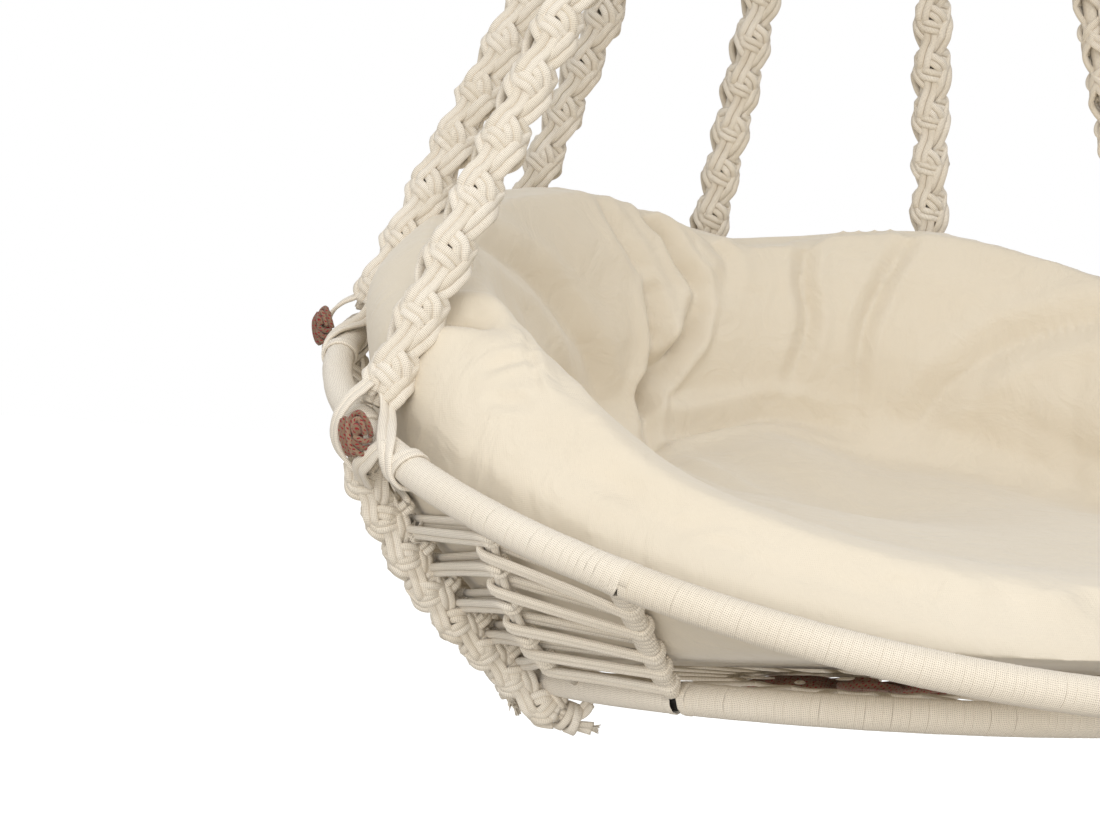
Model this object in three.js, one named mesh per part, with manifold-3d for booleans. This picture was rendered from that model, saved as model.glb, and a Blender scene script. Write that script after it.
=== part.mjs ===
// A knotted hanging chair: a steel hanging ring, seven knotted ropes, a tilted upper ring and a smaller
// seat ring wrapped in flat cord, a side net and a seat net between them, and one thick bucket cushion.
// Millimetres, +Z up, front towards -Y. The origin is the inside top of the hanging ring, where a hook
// holds it.
import * as THREE from "three";
import { mergeVertices } from "three/addons/utils/BufferGeometryUtils.js";
import Module from "manifold-3d";

const wasm = await Module();
wasm.setup();

// Cord and clearance
const CLEARANCE = 0.3;
const CORD_THICKNESS = 2.6;

// Hanging ring, and the rope eye and neck that hang on it
const HANG_RING_INNER_RADIUS = 30;
const HANG_RING_BAR_RADIUS = 4;
const EYE_BORE_RADIUS = 7;
const EYE_WALL = 7;
const EYE_WIDTH = 24;
const NECK_RADIUS = 13.5;
const NECK_TOP_RADIUS = 10;
const NECK_SHOULDER = 8;
const NECK_BOTTOM_Z = -164;
const WHIPPING_TURNS = 9;
const WHIPPING_CORD_RADIUS = 2.3;
const WHIPPING_PITCH = 5.4;
const WHIPPING_TOP_Z = -98;

// Upper ring: radius of the tube's centreline, its centre and its tilt, with the back higher
const UPPER_RING_RADIUS = 390;
const UPPER_RING_CENTRE_Y = -46;
const UPPER_RING_CENTRE_Z = -1066;
const UPPER_RING_TILT_DEG = 18;

// Seat ring: the same, with the back slightly lower
const SEAT_RING_RADIUS = 240;
const SEAT_RING_CENTRE_Y = -34;
const SEAT_RING_CENTRE_Z = -1242;
const SEAT_RING_TILT_DEG = -4.9;

// Steel tube and its cord wrap
const TUBE_RADIUS = 8;
const WRAP_THICKNESS = 1.7;
const WRAP_SLIT_WIDTH = 4;

// Net: the angles from the front at which its columns leave the upper ring and reach the seat ring. Columns
// stand evenly from the first rope to the back, every second one under a rope, and the sides are alike
const FRONT_COLUMNS_DEG = [
  [48.4, 56.5],
  [61.7, 76],
];
const FIRST_ROPE_COLUMN_DEG = [82, 86];
const ROPE_COUNT = 7;
// The columns between the two end ones bow out of the net, each with one knee
const NET_BOW = 15;
const NET_KNEE_SHARE = 0.525;
const COLUMN_WIDTH = 10;
const COLUMN_THICKNESS = 6;
const ROW_WIDTH = 9.6;
const ROW_OVERRUN = 0.6;
// How far down each of the rows crosses a column: the end columns, the ones beside them, and the rest
const ROW_SHARES = [
  [0.2, 0.38, 0.6, 0.75, 0.91],
  [0.08, 0.23, 0.43, 0.62, 0.79],
  [0.26, 0.42, 0.58, 0.75, 0.9],
];

// Knotted ropes: each knot is a lump on the braid
const KNOT_PITCH = 41;
const BRAID_WIDE_RADIUS = 18;
const BRAID_NARROW_RADIUS = 15.5;
const BRAID_WAIST_RADIUS = 10.5;
const BUNDLE_RADIUS = 3.8;
const BUNDLE_END_RADIUS = 6;
const BUNDLE_LENGTH = 150;

// Side braids: the ropes' ends, down the outside of the net to a knot under the seat ring
const SIDE_BRAID_WIDE_RADIUS = 12.5;
const SIDE_BRAID_NARROW_RADIUS = 9.5;
const SIDE_BRAID_WAIST_RADIUS = 7.5;
const SIDE_BRAID_TOP_RADIUS = 7.5;
const END_KNOT_RADIUS = 12.5;
const END_KNOT_DROP = 10;
const TAIL_WAIST_RADIUS = 6;
const TAIL_RADIUS = 9;
const TAIL_LENGTH = 14;

// Lashings round the upper ring, and the knot of core cord on each
const LASHING_WALL = 3.4;
const LASHING_WIDTH = 30;
const CORE_KNOT_RADIUS = 9.5;
const CORE_KNOT_HALF_HEIGHT = 13;
const CORE_KNOT_RISE_DEG = 25;
const CORE_KNOT_SIDE_GAP = 4;

// Seat net and the knotted flower in its middle
const SPOKE_COUNT = 18;
const SPOKE_WIDTH = 9;
const SEAT_NET_THICKNESS = 4;
const SEAT_HOOP_WIDTH = 9;
const SEAT_HOOP_RADIUS = 158;
const FLOWER_RADIUS = 84;
const FLOWER_PETAL_DEPTH = 11;
const FLOWER_THICKNESS = 12;
const FLOWER_PETALS = 8;

// Cushion: a bucket with a roll all round. Heights are given at angles from the front: the crest's over the
// upper ring's centreline, and the crease's over the seat ring's centre
const CUSHION_WALL_GAP = 15;
const CUSHION_RING_GAP = 24;
const CUSHION_FLOOR_GAP = 0.5;
const CUSHION_CORNER = 20;
const CUSHION_CREST_HEIGHTS = [
  [0, 50],
  [48, 50],
  [84, 80],
  [138, 92],
  [180, 60],
];
const CUSHION_CREASE_HEIGHTS = [
  [0, 104],
  [90, 128],
  [150, 154],
  [180, 182],
];
const CUSHION_CREST_INSET = 82;
const CUSHION_CREASE_INSET = 142;
const CUSHION_SEAT_HEIGHT = 112;
const CUSHION_SEAT_SWELL = 8;
// Where the wall starts to turn in, up to the crest, and how far in and down the inner shoulder lies, from
// the crest to the crease
const CUSHION_SHOULDER_SHARE = 0.62;
const CUSHION_INNER_IN_SHARE = 0.7;
const CUSHION_INNER_DOWN_SHARE = 0.3;
const CUSHION_SEAT_SHARE = 0.45;

// Faces of the repeated forms
const RING_SEGMENTS = 36;
const RING_SIDES = 10;
const HANG_RING_SEGMENTS = 32;
const BRAID_SIDES = 5;
const WHIPPING_STEPS = 14;
const TURN_STEPS = 4;
const EYE_SEGMENTS = 12;
const HOOP_SEGMENTS = 27;
const PETAL_STEPS = 5;
const CUSHION_STATIONS = 40;
const CUSHION_PROFILE_STEPS = 24;

// Colours, roughness and metalness of each finish
const FINISHES = {
  steel: { color: 0x9a9b9c, roughness: 0.35, metalness: 1 },
  tube: { color: 0x2e2c2a, roughness: 0.5, metalness: 0.6 },
  cord: { color: 0xe6ddce, roughness: 0.85, metalness: 0 },
  core: { color: 0x8f5a48, roughness: 0.85, metalness: 0 },
  cotton: { color: 0xeee3cd, roughness: 0.9, metalness: 0 },
};

// Sizes that follow from the ones above
const HINGE_Z = -2 * HANG_RING_INNER_RADIUS - HANG_RING_BAR_RADIUS;
const WRAP_INNER_RADIUS = TUBE_RADIUS + CLEARANCE;
const WRAP_RADIUS = WRAP_INNER_RADIUS + WRAP_THICKNESS;
const LASHING_INNER_RADIUS = WRAP_RADIUS + CLEARANCE;
const LASHING_RADIUS = LASHING_INNER_RADIUS + LASHING_WALL;
const ROW_OFFSET = COLUMN_THICKNESS / 2 + CLEARANCE + CORD_THICKNESS / 2;
const SIDE_BRAID_OFFSET = ROW_OFFSET + CORD_THICKNESS / 2 + SIDE_BRAID_NARROW_RADIUS + 2 * CLEARANCE;
const SIDE_BRAID_END_OFFSET = WRAP_RADIUS + END_KNOT_RADIUS + CLEARANCE;

const chair = new THREE.Group();

function add(name, geometry, finish) {
  const mesh = new THREE.Mesh(geometry, new THREE.MeshStandardMaterial(FINISHES[finish]));
  mesh.name = name;
  chair.add(mesh);
}

function range(count) {
  return Array.from({ length: count }, (_, i) => i);
}

// A point reached from a start by lengths along given directions.
function moved(start, ...moves) {
  const point = start.clone();
  for (const [direction, length] of moves) {
    point.addScaledVector(direction, length);
  }
  return point;
}

// Makes an indexed geometry, turned the other way round if its signed volume is negative.
function facingOut(positions, index) {
  const corner = (i) => new THREE.Vector3().fromArray(positions, 3 * index[i]);
  let volume = 0;
  for (let i = 0; i < index.length; i += 3) {
    volume += corner(i).dot(corner(i + 1).cross(corner(i + 2)));
  }
  if (volume < 0) {
    index.reverse();
  }
  const geometry = new THREE.BufferGeometry();
  geometry.setAttribute("position", new THREE.Float32BufferAttribute(positions, 3));
  geometry.setIndex(index);
  return geometry;
}

// Closes a ring of points with a fan of faces round its middle.
function fan(positions, index, start, count, flipped) {
  const hub = positions.length / 3;
  for (const axis of range(3)) {
    const sum = range(count).reduce((total, j) => total + positions[3 * (start + j) + axis], 0);
    positions.push(sum / count);
  }
  for (const j of range(count)) {
    const k = (j + 1) % count;
    index.push(hub, start + (flipped ? k : j), start + (flipped ? j : k));
  }
}

// Joins rings of points, all with the same count, into one closed skin. A looped skin closes on its first
// ring, and an open one gets a fan of faces at each end.
function skin(rings, looped) {
  const count = rings[0].length;
  const positions = rings.flat().flatMap((point) => point.toArray());
  const index = [];
  for (const i of range(looped ? rings.length : rings.length - 1)) {
    const here = i * count;
    const next = ((i + 1) % rings.length) * count;
    for (const j of range(count)) {
      const k = (j + 1) % count;
      index.push(here + j, here + k, next + k, here + j, next + k, next + j);
    }
  }
  if (!looped) {
    fan(positions, index, 0, count, true);
    fan(positions, index, (rings.length - 1) * count, count, false);
  }
  return facingOut(positions, index);
}

// Drops a library geometry's normals and merges its shared corners, so that it is one closed surface.
function welded(geometry) {
  const bare = new THREE.BufferGeometry();
  bare.setAttribute("position", geometry.getAttribute("position"));
  bare.setIndex(geometry.index);
  return mergeVertices(bare);
}

function toSolid(geometry) {
  const closed = welded(geometry);
  return new wasm.Manifold(
    new wasm.Mesh({
      numProp: 3,
      vertProperties: new Float32Array(closed.getAttribute("position").array),
      triVerts: new Uint32Array(closed.index.array),
    }),
  );
}

function toGeometry(solid) {
  const mesh = solid.getMesh();
  const geometry = new THREE.BufferGeometry();
  geometry.setAttribute("position", new THREE.BufferAttribute(new Float32Array(mesh.vertProperties), 3));
  geometry.setIndex(new THREE.BufferAttribute(new Uint32Array(mesh.triVerts), 1));
  return geometry;
}

// A smooth line through points, read at even steps.
function smooth(points, steps) {
  return new THREE.CatmullRomCurve3(points, false, "centripetal").getSpacedPoints(steps);
}

// A faceted ring in space. Angles run from the front past -X to the back, and all that lies on the ring
// follows its straight segments, so that tube, wrap and lashings bend at the same places.
class Ring {
  constructor(radius, centreY, centreZ, tiltDeg) {
    const tilt = THREE.MathUtils.degToRad(tiltDeg);
    this.radius = radius;
    this.centre = new THREE.Vector3(0, centreY, centreZ);
    this.back = new THREE.Vector3(0, Math.cos(tilt), Math.sin(tilt));
    this.normal = new THREE.Vector3(0, -Math.sin(tilt), Math.cos(tilt));
  }
  outward(degrees) {
    const angle = THREE.MathUtils.degToRad(degrees);
    return new THREE.Vector3(-Math.sin(angle), 0, 0).addScaledVector(this.back, -Math.cos(angle));
  }
  // The direction of the straight segment at an angle.
  tangent(degrees) {
    const step = 360 / RING_SEGMENTS;
    const joint = Math.floor(degrees / step);
    return this.at((joint + 1) * step).sub(this.at(joint * step)).normalize();
  }
  // How square a line that meets the tube at an angle stands to it: 1 is square.
  slope(degrees, line) {
    return this.tangent(degrees).cross(line).length();
  }
  // The tube's direction at an angle, as near to a given direction as its two senses allow.
  tangentLike(degrees, direction) {
    const tangent = this.tangent(degrees);
    return tangent.multiplyScalar(Math.sign(tangent.dot(direction)));
  }
  // The point at an angle on the tube's centreline, or beside it by a length outward and a length up.
  at(degrees, out = 0, up = 0) {
    const step = 360 / RING_SEGMENTS;
    const joint = Math.floor(degrees / step);
    const [from, to] = [joint, joint + 1].map((i) =>
      moved(this.centre, [this.outward(i * step), this.radius + out], [this.normal, up]),
    );
    return from.lerp(to, degrees / step - joint);
  }
  section(degrees, radius) {
    return range(RING_SIDES).map((i) => {
      const angle = (2 * Math.PI * (i + 0.5)) / RING_SIDES;
      return this.at(degrees, radius * Math.cos(angle), radius * Math.sin(angle));
    });
  }
  // The angle that a length along the tube covers.
  angleOf(length) {
    return THREE.MathUtils.radToDeg(length / this.radius);
  }
  // Both ends of an arc, with the joints of the ring's segments between them.
  stations(start, end) {
    const step = 360 / RING_SEGMENTS;
    const joints = range(2 * RING_SEGMENTS)
      .map((i) => (i - RING_SEGMENTS) * step)
      .filter((joint) => joint > start && joint < end);
    return [start, ...joints, end];
  }
  tube(radius) {
    const stations = this.stations(0, 360).slice(0, -1);
    return skin(stations.map((angle) => this.section(angle, radius)), true);
  }
  // A hollow sleeve over an arc: out along its outside and back along its inside.
  sleeve(start, end, inner, outer) {
    const stations = this.stations(start, end);
    const outside = stations.map((angle) => this.section(angle, outer));
    const inside = stations.toReversed().map((angle) => this.section(angle, inner));
    return skin([...outside, ...inside], true);
  }
}

const upperRing = new Ring(
  UPPER_RING_RADIUS,
  UPPER_RING_CENTRE_Y,
  UPPER_RING_CENTRE_Z,
  UPPER_RING_TILT_DEG,
);
const seatRing = new Ring(SEAT_RING_RADIUS, SEAT_RING_CENTRE_Y, SEAT_RING_CENTRE_Z, SEAT_RING_TILT_DEG);

// The directions at a place on the net, from an angle on the upper ring to an angle on the seat ring: along
// from ring to ring, out from the net, and to the side round the rings.
class NetColumn {
  constructor(degrees, footDegrees, bow = 0) {
    this.degrees = degrees;
    this.footDegrees = footDegrees;
    this.top = upperRing.at(degrees);
    this.bottom = seatRing.at(footDegrees);
    this.along = this.bottom.clone().sub(this.top).normalize();
    this.out = upperRing.tangent(degrees).cross(this.along).normalize();
    this.side = this.along.clone().cross(this.out);
    this.length = this.top.distanceTo(this.bottom);
    // Between these lengths the column is clear of both rings' wraps.
    this.start = (WRAP_RADIUS + CLEARANCE) / upperRing.slope(degrees, this.along);
    this.end = this.length - (WRAP_RADIUS + CLEARANCE) / seatRing.slope(footDegrees, this.along);
    this.bow = bow;
    this.knee = this.share(NET_KNEE_SHARE);
  }
  // A point at a length from the upper ring, a length out of the bowed net and a length to the side.
  at(along, out, side) {
    const share = along < this.knee ? along / this.knee : (this.length - along) / (this.length - this.knee);
    return moved(this.top, [this.along, along], [this.out, out + this.bow * share], [this.side, side]);
  }
  // The length from the upper ring at which a share of the clear height between the wraps ends.
  share(share) {
    return this.start + share * (this.end - this.start);
  }
}

const evenColumns = range(ROPE_COUNT).map((i) =>
  FIRST_ROPE_COLUMN_DEG.map((degrees) => THREE.MathUtils.lerp(degrees, 180, i / (ROPE_COUNT - 1))),
);
const leftColumns = [...FRONT_COLUMNS_DEG, ...evenColumns];
const rightColumns = leftColumns
  .slice(0, -1)
  .map(([top, foot]) => [360 - top, 360 - foot])
  .toReversed();
const columns = [...leftColumns, ...rightColumns].map(
  ([top, foot], i, all) => new NetColumn(top, foot, i % (all.length - 1) ? NET_BOW : 0),
);
const isFront = (i) => Math.min(i, columns.length - 1 - i) < FRONT_COLUMNS_DEG.length;
const carriesRope = (i) => !isFront(i) && (i - FRONT_COLUMNS_DEG.length) % 2 === 0;
const ropeColumns = columns.filter((_, i) => carriesRope(i));
const plainColumns = columns.filter((_, i) => !carriesRope(i));

// Steel hanging ring, standing in the XZ plane.
function addHangingRing() {
  const radius = HANG_RING_INNER_RADIUS + HANG_RING_BAR_RADIUS;
  const ring = new THREE.TorusGeometry(radius, HANG_RING_BAR_RADIUS, RING_SIDES, HANG_RING_SEGMENTS);
  ring.rotateX(Math.PI / 2).translate(0, 0, -HANG_RING_INNER_RADIUS);
  add("hanging_ring", welded(ring), "steel");
}

// Cord loops over the bar of the hanging ring, drawn together into one round neck.
function addRopeEye() {
  const outline = new THREE.Shape().absarc(0, 0, EYE_BORE_RADIUS + EYE_WALL, 0, 2 * Math.PI);
  outline.holes.push(new THREE.Path().absarc(0, 0, EYE_BORE_RADIUS, 0, 2 * Math.PI, true));
  const loops = new THREE.ExtrudeGeometry(outline, {
    depth: EYE_WIDTH,
    bevelEnabled: false,
    curveSegments: EYE_SEGMENTS,
  });
  loops.translate(0, 0, -EYE_WIDTH / 2).rotateY(Math.PI / 2).translate(0, 0, HINGE_Z);
  const top = HINGE_Z - (EYE_BORE_RADIUS + EYE_WALL / 2);
  const profile = [
    [0, NECK_BOTTOM_Z],
    [NECK_RADIUS, NECK_BOTTOM_Z],
    [NECK_RADIUS, top - NECK_SHOULDER],
    [NECK_TOP_RADIUS, top],
    [0, top],
  ].map(([radius, z]) => new THREE.Vector2(radius, z));
  const neck = new THREE.LatheGeometry(profile, WHIPPING_STEPS).rotateX(Math.PI / 2);
  add("rope_eye", toGeometry(toSolid(loops).add(toSolid(neck))), "cord");
}

// The least distance between the points of sections that lie one turn apart.
function leastTurnGap(rings, perTurn) {
  const gaps = rings
    .slice(perTurn)
    .flatMap((ring, i) => ring.flatMap((point) => rings[i].map((other) => point.distanceTo(other))));
  return Math.min(...gaps);
}

// A cord wound round the neck.
function addNeckWhipping() {
  const radius = NECK_RADIUS + CLEARANCE + WHIPPING_CORD_RADIUS;
  const rings = range(WHIPPING_TURNS * WHIPPING_STEPS + 1).map((i) => {
    const angle = (2 * Math.PI * i) / WHIPPING_STEPS;
    const outward = new THREE.Vector3(Math.cos(angle), Math.sin(angle), 0);
    const middle = moved(new THREE.Vector3(0, 0, WHIPPING_TOP_Z), [outward, radius]);
    middle.z -= (WHIPPING_PITCH * i) / WHIPPING_STEPS;
    return range(BRAID_SIDES).map((j) => {
      const turn = (2 * Math.PI * j) / BRAID_SIDES;
      const point = moved(middle, [outward, WHIPPING_CORD_RADIUS * Math.cos(turn)]);
      point.z += WHIPPING_CORD_RADIUS * Math.sin(turn);
      return point;
    });
  });
  add("neck_whipping", skin(rings, false), "cord");
  console.log("least gap between whipping turns, mm:", leastTurnGap(rings, WHIPPING_STEPS).toFixed(2));
}

// A ring's tube and its wrap, which has a slit of bare steel beside each front column.
function addWrappedRing(name, ring, columnDegrees, slitSide) {
  const middle = columnDegrees + slitSide * ring.angleOf((COLUMN_WIDTH + WRAP_SLIT_WIDTH) / 2);
  const half = ring.angleOf(WRAP_SLIT_WIDTH / 2);
  const front = ring.sleeve(half - middle, middle - half, WRAP_INNER_RADIUS, WRAP_RADIUS);
  const back = ring.sleeve(middle + half, 360 - middle - half, WRAP_INNER_RADIUS, WRAP_RADIUS);
  add(name + "_tube", ring.tube(TUBE_RADIUS), "tube");
  add(name + "_wrap_front", front, "cord");
  add(name + "_wrap_back", back, "cord");
}

// A braid's section: an oval round a point, with its wide radius along one direction.
function ovalSection(middle, wideAxis, narrowAxis, wide, narrow) {
  return range(BRAID_SIDES).map((i) => {
    const angle = (2 * Math.PI * i) / BRAID_SIDES;
    return moved(middle, [wideAxis, wide * Math.cos(angle)], [narrowAxis, narrow * Math.sin(angle)]);
  });
}

// A hanging rope, from the neck down to its lashing: loose cords first, then a row of knots, each turned a
// quarter against the last.
function addHangBraid(column, i) {
  const turn = (2 * Math.PI * (i + 0.5)) / ropeColumns.length;
  const spread = NECK_RADIUS - BUNDLE_RADIUS - CLEARANCE;
  const start = new THREE.Vector3(
    -spread * Math.sin(turn),
    -spread * Math.cos(turn),
    NECK_BOTTOM_Z - CLEARANCE,
  );
  const along = column.top.clone().sub(start).normalize();
  const reach = (LASHING_RADIUS + CLEARANCE) / upperRing.slope(column.degrees, along);
  const length = start.distanceTo(column.top) - reach;
  const down = new THREE.Vector3(0, 0, -1);
  const side = along.clone().cross(down).normalize();
  const face = side.clone().cross(along);
  // Each second knot is wide where the last was narrow.
  const section = (at, flipped, wide, narrow) => {
    const [across, deep] = flipped ? [narrow, wide] : [wide, narrow];
    return ovalSection(moved(start, [along, at]), side, face, across, deep);
  };
  const knots = Math.round((length - BUNDLE_LENGTH) / KNOT_PITCH);
  const pitch = (length - BUNDLE_LENGTH) / knots;
  const rings = [ovalSection(start, side, side.clone().cross(down), BUNDLE_RADIUS, BUNDLE_RADIUS)];
  for (const knot of range(knots)) {
    const waist = knot ? BRAID_WAIST_RADIUS : BUNDLE_END_RADIUS;
    const at = BUNDLE_LENGTH + knot * pitch;
    rings.push(section(at, knot % 2, waist, waist));
    rings.push(section(at + pitch / 2, knot % 2, BRAID_WIDE_RADIUS, BRAID_NARROW_RADIUS));
  }
  // The foot is cut along the ring.
  const footSide = upperRing.tangentLike(column.degrees, side);
  const footFace = footSide.clone().cross(along).normalize();
  const foot = moved(start, [along, length]);
  rings.push(ovalSection(foot, footSide, footFace, BRAID_WAIST_RADIUS, BRAID_WAIST_RADIUS));
  add("hang_braid_" + (i + 1), skin(rings, false), "cord");
}

// The rope's end: it leaves the lashing, runs down outside the net, steps out past the seat ring, and ends
// in a knot with a short tail.
function addSideBraid(column, i) {
  const first = LASHING_RADIUS + CLEARANCE;
  const knots = Math.round((column.length - first) / KNOT_PITCH);
  const pitch = (column.length - first) / knots;
  const section = (at, out, wide, narrow) =>
    ovalSection(column.at(at, out, 0), column.side, column.out, wide, narrow);
  const top = SIDE_BRAID_TOP_RADIUS;
  const rings = [section(first, top + CLEARANCE, top, top)];
  for (const knot of range(knots)) {
    const at = first + knot * pitch;
    if (knot) {
      rings.push(section(at, SIDE_BRAID_OFFSET, SIDE_BRAID_WAIST_RADIUS, SIDE_BRAID_WAIST_RADIUS));
    }
    const middle = at + pitch / 2;
    rings.push(section(middle, SIDE_BRAID_OFFSET, SIDE_BRAID_WIDE_RADIUS, SIDE_BRAID_NARROW_RADIUS));
  }
  const end = [
    [0, SIDE_BRAID_WAIST_RADIUS],
    [END_KNOT_DROP, END_KNOT_RADIUS],
    [END_KNOT_DROP + END_KNOT_RADIUS, TAIL_WAIST_RADIUS],
    [END_KNOT_DROP + END_KNOT_RADIUS + TAIL_LENGTH, TAIL_RADIUS],
  ];
  for (const [at, radius] of end) {
    rings.push(section(column.length + at, SIDE_BRAID_END_OFFSET, radius, radius));
  }
  add("side_braid_" + (i + 1), skin(rings, false), "cord");
}

// The cords that cross the upper ring where a rope meets it.
function addLashing(column, i) {
  const half = upperRing.angleOf(LASHING_WIDTH / 2);
  const sleeve = upperRing.sleeve(
    column.degrees - half,
    column.degrees + half,
    LASHING_INNER_RADIUS,
    LASHING_RADIUS,
  );
  add("ring_lashing_" + (i + 1), sleeve, "cord");
}

// The knot of patterned core cord, outside the wrap beside the lashing, towards the front.
function addCoreKnot(column, i) {
  const beside = upperRing.angleOf(LASHING_WIDTH / 2 + CORE_KNOT_SIDE_GAP + CORE_KNOT_RADIUS);
  const degrees = column.degrees - beside * (column.degrees > 180 ? -1 : 1);
  const rise = THREE.MathUtils.degToRad(CORE_KNOT_RISE_DEG);
  // The knot stands taller than it is wide, so it reaches further back along the rise. Its flat facets
  // leave it clear of the wrap.
  const depth = Math.hypot(CORE_KNOT_RADIUS * Math.cos(rise), CORE_KNOT_HALF_HEIGHT * Math.sin(rise));
  const reach = WRAP_RADIUS + depth;
  const middle = upperRing.at(degrees, reach * Math.cos(rise), reach * Math.sin(rise));
  const knot = new THREE.IcosahedronGeometry(CORE_KNOT_RADIUS, 1);
  knot.scale(1, 1, CORE_KNOT_HALF_HEIGHT / CORE_KNOT_RADIUS);
  const along = upperRing.tangent(degrees);
  const across = upperRing.normal.clone().cross(along);
  knot.applyMatrix4(new THREE.Matrix4().makeBasis(along, across, upperRing.normal));
  add("core_knot_" + (i + 1), welded(knot.translate(middle.x, middle.y, middle.z)), "core");
}

// Two cords side by side: the outline of their section, in shares of its half width and half thickness.
const PAIR_OUTLINE_SHARES = [
  [1, 0],
  [0.72, 1],
  [0, 0.7],
  [-0.72, 1],
  [-1, 0],
  [-0.72, -1],
  [0, -0.7],
  [0.72, -1],
];

// A plain column with its knee, cut along the ring that it meets at each end.
function addPlainColumn(column, i) {
  const section = (along, tangent) => {
    const shear = tangent.dot(column.along) / tangent.dot(column.side);
    return PAIR_OUTLINE_SHARES.map(([a, b]) => {
      const side = (a * COLUMN_WIDTH) / 2;
      return column.at(along + shear * side, (b * COLUMN_THICKNESS) / 2, side);
    });
  };
  const sections = [
    section(column.start, upperRing.tangent(column.degrees)),
    section(column.knee, column.side),
    section(column.end, seatRing.tangent(column.footDegrees)),
  ];
  add("net_column_" + (i + 1), skin(sections, false), "cord");
}

// A row's flat section at a column: its middle, and how its thickness leans between out and side.
function rowSection(column, along, out, side, lean) {
  const [width, thickness] = [ROW_WIDTH / 2, CORD_THICKNESS / 2];
  return [
    [-1, -1],
    [1, -1],
    [1, 1],
    [-1, 1],
  ].map(([a, b]) => {
    const [outward, sideways] = [Math.cos(lean), Math.sin(lean)].map((share) => b * thickness * share);
    return column.at(along + a * width, out + outward, side + sideways);
  });
}

// One row: a pair of cords that runs round the outside of the columns, turns back round the front column
// at each end, and returns along their inside.
function addNetRow(i) {
  const edge = COLUMN_WIDTH / 2 + ROW_OVERRUN;
  const section = (column, out, side, lean) => {
    const place = columns.indexOf(column);
    const rank = Math.min(place, columns.length - 1 - place, ROW_SHARES.length - 1);
    return rowSection(column, column.share(ROW_SHARES[rank][i]), out * ROW_OFFSET, side, lean);
  };
  // The sections over one edge or both edges of each column, on one face of the net.
  const run = (out) =>
    columns.flatMap((column, j) => {
      const edges = [-edge, edge].slice(j === 0 ? 1 : 0, j === columns.length - 1 ? 1 : 2);
      return edges.map((side) => section(column, out, side * round, 0));
    });
  // The turn round an end column, from one face of the net to the other.
  const turn = (column, away, from) =>
    range(TURN_STEPS + 1).map((step) => {
      const angle = (Math.PI * step) / TURN_STEPS;
      const [out, across] = [from * Math.cos(angle), away * Math.sin(angle)];
      return section(column, out, (away * COLUMN_WIDTH) / 2 + across * ROW_OFFSET, Math.atan2(across, out));
    });
  const round = Math.sign(columns[1].top.clone().sub(columns[0].top).dot(columns[0].side));
  const inside = run(-1).map(([a, b, c, d]) => [d, c, b, a]);
  const farTurn = turn(columns.at(-1), round, 1);
  const nearTurn = turn(columns[0], -round, -1);
  const rings = [...run(1), ...farTurn, ...inside.toReversed(), ...nearTurn];
  add("net_row_" + (i + 1), skin(rings, true), "cord");
}

// A solid that is drawn flat about the origin, set into the seat ring's plane with its top at a height
// over that plane.
function inSeatPlane(geometry, topHeight) {
  geometry.computeBoundingBox();
  geometry.translate(0, 0, topHeight - geometry.boundingBox.max.z);
  const right = new THREE.Vector3(1, 0, 0);
  const place = new THREE.Matrix4().makeBasis(right, seatRing.back, seatRing.normal);
  return geometry.applyMatrix4(place.setPosition(seatRing.centre));
}

function flatHoop(inner, outer) {
  const outline = new THREE.Shape().absarc(0, 0, outer, 0, 2 * Math.PI);
  outline.holes.push(new THREE.Path().absarc(0, 0, inner, 0, 2 * Math.PI, true));
  return new THREE.ExtrudeGeometry(outline, {
    depth: SEAT_NET_THICKNESS,
    bevelEnabled: false,
    curveSegments: HOOP_SEGMENTS,
  });
}

// Spokes of cord from the seat ring to a hoop round the flower, tied by a second hoop half way.
function addSeatNet() {
  const inner = FLOWER_RADIUS + CLEARANCE;
  let net = toSolid(flatHoop(inner, inner + SEAT_HOOP_WIDTH));
  const middle = SEAT_HOOP_RADIUS - SEAT_HOOP_WIDTH / 2;
  net = net.add(toSolid(flatHoop(middle, middle + SEAT_HOOP_WIDTH)));
  for (const i of range(SPOKE_COUNT)) {
    const degrees = (360 * i) / SPOKE_COUNT;
    const start = inner + SEAT_HOOP_WIDTH / 2;
    const end = seatRing.at(degrees).distanceTo(seatRing.centre) - WRAP_RADIUS - CLEARANCE;
    const spoke = new THREE.BoxGeometry(SPOKE_WIDTH, end - start, SEAT_NET_THICKNESS);
    spoke.translate(0, -(start + end) / 2, SEAT_NET_THICKNESS / 2);
    spoke.rotateZ(-THREE.MathUtils.degToRad(degrees));
    net = net.add(toSolid(spoke));
  }
  add("seat_net", inSeatPlane(toGeometry(net), SEAT_NET_THICKNESS / 2), "cord");
}

// A round rosette of looped core cord, one petal to a loop.
function addSeatFlower() {
  const points = range(FLOWER_PETALS * PETAL_STEPS).map((i) => {
    const turn = (2 * Math.PI * i) / (FLOWER_PETALS * PETAL_STEPS);
    const petal = Math.abs(Math.sin((FLOWER_PETALS * turn) / 2));
    const radius = FLOWER_RADIUS - FLOWER_PETAL_DEPTH * (1 - petal);
    return new THREE.Vector2(radius * Math.cos(turn), radius * Math.sin(turn));
  });
  const flower = new THREE.ExtrudeGeometry(new THREE.Shape(points), {
    depth: FLOWER_THICKNESS,
    bevelEnabled: false,
  });
  add("seat_flower", welded(inSeatPlane(flower, SEAT_NET_THICKNESS / 2)), "core");
}

// A value from a table of angles from the front, smooth between them and alike on both sides.
function readTable(table, degrees) {
  const fromFront = Math.min(degrees, 360 - degrees);
  const i = Math.max(1, table.findIndex(([angle]) => fromFront <= angle));
  const [[start, low], [end, high]] = [table[i - 1], table[i]];
  return THREE.MathUtils.lerp(low, high, THREE.MathUtils.smoothstep(fromFront, start, end));
}

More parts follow.
